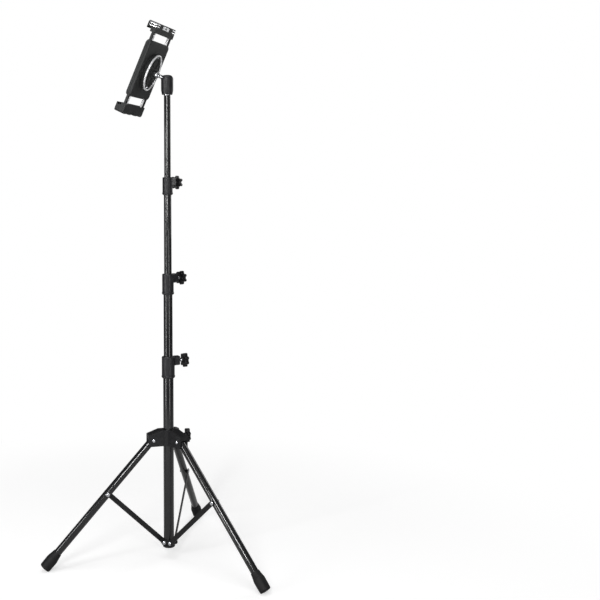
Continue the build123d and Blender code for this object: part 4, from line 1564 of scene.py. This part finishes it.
@dataclass
class HolderBody:
    """The two shells of the holder, which meet in a fine parting groove, and its grip strips.

    Attributes:
        head: The ball head that carries it.
        half_width: Half the body's width.
        top: Upper end of the body, from the stem's axis.
        foot: Lower end of the body.
        back: Distance of the body's back from the ball.
        split: Distance of the parting line from the ball.
        front: Distance of the body's front from the ball.
        corner: Radius of the outline's corners.
        edge: Radius of the body's rims.
        grip: Width, height and corner radius of a grip strip.
        grip_side: Distance of a grip strip from the middle.
    """

    head: BallHead
    half_width: float = 42.0
    top: float = 64.0
    foot: float = 62.0
    back: float = 46.0
    split: float = 52.0
    front: float = 59.4
    corner: float = 9.0
    edge: float = 2.0
    grip: Triple = (12.0, 96.0, 4.0)
    grip_side: float = 27.0

    def build(self) -> None:
        """Makes the shells and the grip strips, and dresses what lies hidden inside."""
        middle = (self.top - self.foot) / 2
        outline = rounded_box(2 * self.half_width, self.top + self.foot, self.corner)
        flat = self.edge + 0.4
        near, far = self.split - 0.02, self.split + 0.02
        back = [(flat, 0.0, self.back), (flat, 1.0, self.back)] + rising_rim(self.back, self.edge, 6)
        back += [(0.0, 1.0, self.split - 0.3), (0.35, 1.0, near), (0.5, 0.0, near)]
        front = [(0.5, 0.0, far), (0.35, 1.0, far), (0.0, 1.0, self.split + 0.3)]
        front += falling_rim(self.front, self.edge, 6) + [(flat, 1.0, self.front), (flat, 0.0, self.front)]
        for name, stations in (("back", back), ("front", front)):
            surface = stack(self.head.stem_spot(0, 0, middle), outline, stations)
            hand_over(add_mesh(f"holder_{name}_shell", surface), "holder", Finish.HOLDER_PLASTIC,
                      "black_plastic", f"holder_{name}")
        grips = [stack(self.head.stem_spot(self.front - 0.05, side * self.grip_side, middle),
                       rounded_box(*self.grip), pillow(0.0, 0.65, 0.25)) for side in SIDES]
        hand_over(add_mesh("grip_strips", Surface.joined(grips)), "holder", Finish.PAD_RUBBER,
                  "black_rubber", "grip_pads")
        CUPBOARD.dress_node("arm_springs", Finish.ZINC)
        CUPBOARD.dress_node("thread_insert", Finish.BRASS)


@dataclass
class MountDish:
    """The raised oval dish on the holder's back, its bright ring and its two screws.

    Attributes:
        head: The ball head that it is screwed to.
        base: Distance of the dish's foot from the ball.
        half: Half axes of the oval.
        high: Height of the flat face.
        ledge: Step down from the face to the ring.
        hollow_at: Distance of a round hollow from the middle.
        hollow_radius: Radius of a hollow.
        hollow_depth: Depth of a hollow.
        boss_radius: Radius of the stem's boss.
        boss_high: Height of the boss.
        screw_at: Distance of a screw from the middle.
        screw_seat: Distance of the foot of a screw's head from the ball.
        screw_radius: Radius of a screw's head.
        well_radius: Radius of the well round a screw.
        well_depth: Depth of a well.
        ring_half: Half the ring's width.
        ring_at: Distance of the ring's middle from the ball.
    """

    head: BallHead
    base: float = 46.0
    half: tuple[float, float] = (25.8, 40.6)
    high: float = 7.3
    ledge: float = 1.3
    hollow_at: float = 19.5
    hollow_radius: float = 13.0
    hollow_depth: float = 2.8
    boss_radius: float = 8.5
    boss_high: float = 8.6
    screw_at: float = 34.0
    screw_seat: float = 40.2
    screw_radius: float = 2.6
    well_radius: float = 2.9
    well_depth: float = 1.5
    ring_half: float = 1.7
    ring_at: float = 38.25

    def face_height(self, x: Array, y: Array, q: Array) -> Array:
        """Height of the dish.

        It is the flat face, with a step down to the ring, less two round hollows of parabolic
        depth with raised middles, less the screws' wells. The boss stands above all of it.

        Args:
            x: Distance across the holder.
            y: Distance up the holder.
            q: Share of the way to the oval's rim.

        Returns:
            The height at each point.
        """
        face = self.high - self.ledge * smooth_step((q - 0.86) / 0.03)
        for side in SIDES:
            gap = np.hypot(x, y - side * self.hollow_at) / self.hollow_radius
            hollow = self.hollow_depth * smooth_step((1.02 - gap) / 0.10) * (0.72 + 0.28 * (1 - gap ** 2))
            face = face - hollow + 1.1 * smooth_step((0.62 - gap) / 0.08)
        for side in SIDES:
            well = np.hypot(x, y - side * self.screw_at) / self.well_radius
            face = face - self.well_depth * smooth_step((1.0 - well) / 0.12)
        boss = self.boss_high * smooth_step((1.08 - np.hypot(x, y) / self.boss_radius) / 0.14)
        return np.maximum(face, boss)

    def build(self) -> None:
        """Makes the dish as a polar sheet over the oval with a skirt, its ring and its screws."""
        a, b = self.half
        share = np.concatenate([np.linspace(0, 1, 61)[:-1] * 0.9, np.linspace(0.9, 1.0, 9)])
        q, t = np.meshgrid(share, full_turn(160), indexing="ij")
        x, y = a * q * np.cos(t), b * q * np.sin(t)
        sheet = np.stack([x, y, -self.face_height(x, y, q)], axis=-1)
        skirt = np.stack([x[-1:], y[-1:], np.full_like(x[-1:], 0.1)], axis=-1)
        points = np.concatenate([sheet, skirt, skirt * np.array([0.0, 0.0, 1.0])])
        surface = Surface.on_grid(self.head.stem_spot(self.base), points)
        hand_over(add_mesh("dish_moulding", surface, 50), "holder", Finish.HOLDER_PLASTIC,
                  "black_plastic", "mount_dish")
        w = self.ring_half
        section = rounded_corners([(-w, -1.75, 1.1), (w, -1.75, 1.1), (w, 1.75, 0.4), (-w, 1.75, 0.4)],
                                  closed=True)
        ring = sweep_ring(self.head.stem_spot(self.ring_at), ellipse(a - w, b - w, 144), section)
        hand_over(add_mesh("bright_oval_ring", ring), "holder", Finish.SATIN_CHROME, "chrome",
                  "oval_ring")
        screws = [cross_screw(self.head.stem_spot(self.screw_seat, 0.0, side * self.screw_at),
                              self.screw_radius, 1.4) for side in SIDES]
        hand_over(add_mesh("dish_screws", Surface.joined(screws), 25), "holder", Finish.ZINC,
                  "bright_steel", "holder_screws")


@dataclass
class Jaw:
    """One sprung jaw with its two slide rods and its two rubbers.

    Attributes:
        head: The ball head that carries the holder.
        name: Which jaw.
        way: 1 for the jaw above the stem and -1 for the one below.
        wall: Distance of the jaw's wall from the stem's axis.
        rod_side: Distance of a rod from the middle.
        rod_depth: Distance of the rods from the ball.
        rod_radius: Radius of a rod.
        rod_ends: Distances of a rod's ends from the stem's axis.
        pad: Width, height and corner radius of a rubber.
        pad_side: Distance of a rubber from the middle.
        pad_depth: Distance of the rubbers from the ball.
    """

    head: BallHead
    name: str
    way: int
    wall: float
    rod_side: float = 31.5
    rod_depth: float = 52.0
    rod_radius: float = 2.5
    rod_ends: tuple[float, float] = (24.0, 88.0)
    pad: Triple = (30.0, 6.0, 1.2)
    pad_side: float = 24.0
    pad_depth: float = 63.0

    def build(self) -> None:
        """Makes the jaw, its rods and its rubbers."""
        body = f"{self.name}_clamp"
        jaw = moulded_copy(f"{self.name}_jaw_moulding", f"{self.name}_arm", 0.55)
        hand_over(jaw, body, Finish.HOLDER_PLASTIC, "black_plastic", f"{self.name}_arm")
        low, high = sorted(self.way * end for end in self.rod_ends)
        rods, pads = [], []
        for side in SIDES:
            at = self.head.stem_spot(self.rod_depth, side * self.rod_side, low)
            rods.append(round_bar(Spot(at.origin, at.w, at.u, at.v), self.rod_radius, high - low, 0.5))
            at = self.head.stem_spot(self.pad_depth, side * self.pad_side, self.way * self.wall)
            inward = Spot(at.origin, at.u * self.way, at.w, -at.v * self.way)
            pads.append(stack(inward, rounded_box(*self.pad), pillow(-0.05, 1.0, 0.35)))
        hand_over(add_mesh(f"{self.name}_slide_rods", Surface.joined(rods)), body,
                  Finish.SATIN_CHROME, "chrome", f"{self.name}_rods")
        hand_over(add_mesh(f"{self.name}_jaw_rubber", Surface.joined(pads)), body, Finish.PAD_RUBBER,
                  "black_rubber", f"{self.name}_jaw_pads")


@dataclass
class JawTrim:
    """The upper jaw's bright plates, one in the middle of its back and two round each end.

    Attributes:
        head: The ball head that carries the holder.
        back: Distance of the jaw's back from the ball.
        middle: Height of the middle plate on the jaw, from the stem's axis.
        plate: Width, height and corner radius of the middle plate.
        inner: Distance of an end plate's inner end from the middle.
        outer: Distance of its outer face from the middle.
        depth: Distance of its front end from the ball.
        thick: Thickness of the end plates.
        lows: Heights of the lower edges of the two end plates.
        tall: Height of an end plate.
        screw: Radius and height of the screw's head.
    """

    head: BallHead
    back: float = 49.2
    middle: float = 95.75
    plate: Triple = (29.9, 7.8, 1.2)
    inner: float = 28.05
    outer: float = 41.4
    depth: float = 68.25
    thick: float = 1.6
    lows: tuple[float, float] = (91.85, 96.65)
    tall: float = 3.0
    screw: tuple[float, float] = (2.1, 0.6)

    def build(self) -> None:
        """Makes the plates, and the screw in the middle one.

        An end plate is an L-shaped outline across the jaw, raised by the height of its slot.
        """
        facing = self.head.stem_spot(self.back, 0.0, self.middle).flipped()
        plates = [stack(facing, rounded_box(*self.plate), pillow(0.0, self.thick, 0.3))]
        face, side_face = self.back - self.thick, self.outer - self.thick
        corners = [(self.inner, self.back, 0.2), (self.inner, face, 0.4), (self.outer, face, 1.3),
                   (self.outer, self.depth, 0.4), (side_face, self.depth, 0.2), (side_face, self.back, 0.5)]
        for side in SIDES:
            outline = rounded_corners([(side * x, h, r) for x, h, r in corners[::side]], closed=True, steps=5)
            for low in self.lows:
                at = self.head.stem_spot(0.0, 0.0, low + self.tall)
                across = Spot(at.origin, at.u, at.w, -at.v)
                plates.append(stack(across, outline, pillow(0.0, self.tall, 0.25)))
        hand_over(add_mesh("upper_jaw_plates", Surface.joined(plates)), "upper_clamp",
                  Finish.SILVER_TRIM, "silver_trim", "upper_jaw_trim")
        screw = cross_screw(self.head.stem_spot(face + 0.1, 0.0, self.middle), *self.screw)
        hand_over(add_mesh("upper_jaw_screw", screw, 25), "upper_clamp", Finish.HOLDER_PLASTIC,
                  "black_plastic")


@dataclass
class Lamp:
    """A rectangular lamp that is aimed at the middle of the stand.

    Attributes:
        name: Name of the lamp.
        at: Its place, in millimetres.
        size: Its width and height, in millimetres.
        power: Its power, in watts.
    """

    name: str
    at: Triple
    size: tuple[float, float]
    power: float

    def build(self) -> None:
        """Makes the lamp."""
        data = bpy.data.lights.new(self.name, "AREA")
        data.shape = "RECTANGLE"
        data.size, data.size_y = (side * MM for side in self.size)
        data.energy = self.power
        lamp = bpy.data.objects.new(self.name, data)
        lamp.location = Vector(self.at) * MM
        aim = Vector((0.0, 0.0, 0.6)) - lamp.location
        lamp.rotation_euler = aim.to_track_quat("-Z", "Y").to_euler()
        bpy.context.scene.collection.objects.link(lamp)


@dataclass
class Studio:
    """Floor, lamps, background and camera.

    Attributes:
        camera_at: Place of the camera, in millimetres.
        focal_pixels: Focal length in pixels of the 600 pixel frame.
        centre: Pixel that the camera looks straight at.
        roll: Turn of the picture, in degrees.
        frame_pixels: Width of the picture.
        front_light: Strength of the background's light from the camera's side.
        back_light: Strength of its light from the far side.
        floor_half: Half the floor's width, in millimetres.
        floor_glow: Strength that the camera sees on top of the lit floor.
        floor_clear: Distance at which the floor is half way to white, in metres.
        floor_fade: Distance either side of that over which it fades.
    """

    camera_at: Triple = (31.2, -1873.6, 730.0)
    focal_pixels: float = 879.6
    centre: tuple[float, float] = (182.3, 214.3)
    roll: float = 0.23
    frame_pixels: float = 600.0
    front_light: float = 0.36
    back_light: float = 0.06
    floor_half: float = 9000.0
    floor_glow: float = 0.56
    floor_clear: float = 0.75
    floor_fade: float = 0.35

    def build(self) -> None:
        """Makes the floor, the background, the lamps and the camera.

        Tall narrow lamps stand on both sides of the camera, with one above and a weak one behind.
        """
        self.build_floor()
        self.build_world()
        for lamp in (Lamp("strip_lamp", at=(-560.0, -2250.0, 1500.0), size=(170.0, 1000.0), power=29.0),
                     Lamp("left_lamp", at=(-1900.0, -1350.0, 650.0), size=(150.0, 1500.0), power=17.0),
                     Lamp("fill_lamp", at=(1250.0, -1950.0, 350.0), size=(220.0, 1100.0), power=7.0),
                     Lamp("top_lamp", at=(-300.0, -300.0, 3000.0), size=(1600.0, 1600.0), power=26.0),
                     Lamp("rim_lamp", at=(1700.0, 1300.0, 1400.0), size=(500.0, 1500.0), power=8.0)):
            lamp.build()
        self.build_camera()

    def build_floor(self) -> None:
        """Makes a wide pale floor that keeps soft shadows near the stand.

        For the camera it fades to plain white further off.
        """
        square = np.array([[-1, -1, 0], [1, -1, 0], [1, 1, 0], [-1, 1, 0]])
        floor = add_mesh("studio_floor", Surface(square * self.floor_half * MM, np.array([[0, 1, 2, 3]])))
        sheet = FinishSheet("pale_floor")
        cloud = sheet.noise(2.0, 2.0)
        sheet.set(Base_Color=sheet.blend(cloud, (0.60, 0.60, 0.60), (0.62, 0.62, 0.62)), Roughness=0.8)
        seen = sheet.output("ShaderNodeLightPath", "Is Camera Ray")
        dark, glow, white = (sheet.light("ShaderNodeEmission", strength)
                             for strength in (0.0, self.floor_glow, 1.0))
        plain = Shade(sheet, sheet.shader.outputs[0])
        near = sheet.node("ShaderNodeAddShader", {}, {0: plain, 1: sheet.mix(seen, dark, glow)})[0]
        distance = sheet.node("ShaderNodeVectorMath", {"operation": "LENGTH"}, {0: sheet.place()})[0]
        far = seen * distance.over(self.floor_clear, self.floor_fade)
        sheet.end(sheet.mix(far, near, white))
        floor.data.materials.append(sheet.material)

    def build_world(self) -> None:
        """Makes a background that is white to the camera and a soft, one-sided light to the stand.

        The light is brightest from the camera's side and falls off smoothly to the far side, so
        that round black pieces keep dark edges.
        """
        world = bpy.data.worlds.new("studio")
        bpy.context.scene.world = world
        world.use_nodes = True
        sheet = NodeSheet(world.node_tree)
        white, bright, dim = (sheet.light("ShaderNodeBackground", strength)
                              for strength in (1.0, self.front_light, self.back_light))
        towards = sheet.output("ShaderNodeTexCoord", "Generated")
        along = sheet.node("ShaderNodeSeparateXYZ", {}, {0: towards})[1]
        facing = (0.0 - along).over(0.35, 0.6)
        seen = sheet.output("ShaderNodeLightPath", "Is Camera Ray")
        sheet.end(sheet.mix(seen, sheet.mix(facing, dim, bright), white))

    def build_camera(self) -> None:
        """Makes the level camera, shifted so that the stand lies where the photograph has it."""
        data = bpy.data.cameras.new("view")
        data.sensor_width = 36.0
        data.sensor_fit = "HORIZONTAL"
        data.lens = self.focal_pixels / self.frame_pixels * data.sensor_width
        half = self.frame_pixels / 2
        data.shift_x = (half - self.centre[0]) / self.frame_pixels
        data.shift_y = (self.centre[1] - half) / self.frame_pixels
        data.clip_end = 50.0
        camera = bpy.data.objects.new("view", data)
        camera.location = Vector(self.camera_at) * MM
        camera.rotation_euler = (math.radians(90.0), math.radians(self.roll), 0.0)
        bpy.context.scene.collection.objects.link(camera)
        bpy.context.scene.camera = camera


def main() -> None:
    """Builds the stand's sub-assemblies and the studio."""
    logging.basicConfig(level=logging.INFO, format="%(name)s: %(message)s")
    bpy.context.scene.view_settings.view_transform = "Standard"
    collars = [
        ClampCollar("lower", "column", bottom=382.0, height=45.5, carried=11.0, passing=9.5, azimuth=25.0),
        ClampCollar("middle", "section_2", bottom=559.3, height=44.0, carried=9.5, passing=8.0, azimuth=44.0),
        ClampCollar("upper", "section_3", bottom=771.3, height=37.7, carried=8.0, passing=7.0, azimuth=62.0),
    ]
    knobs = [
        ClampKnob("hub", azimuth=15.65, height=257.3, rod_start=14.15, knob_start=36.2, thickness=10.0),
        ClampKnob("lower", azimuth=25.0, height=417.5, rod_start=12.65, knob_start=31.6, thickness=12.0),
        ClampKnob("middle", azimuth=44.0, height=593.3, rod_start=11.15, knob_start=31.6, thickness=12.0),
        ClampKnob("upper", azimuth=62.0, height=799.0, rod_start=10.15, knob_start=31.6, thickness=12.0),
    ]
    head = BallHead()
    jaws = [Jaw(head, "upper", way=1, wall=89.5), Jaw(head, "lower", way=-1, wall=86.5)]
    holder = [HolderBody(head), MountDish(head), *jaws, JawTrim(head)]
    for part in (Studio(), Column(), *collars, *knobs, Tripod(), head, *holder):
        part.build()
        log.info("%s is built", type(part).__name__)


if __name__ == "__main__":
    main()
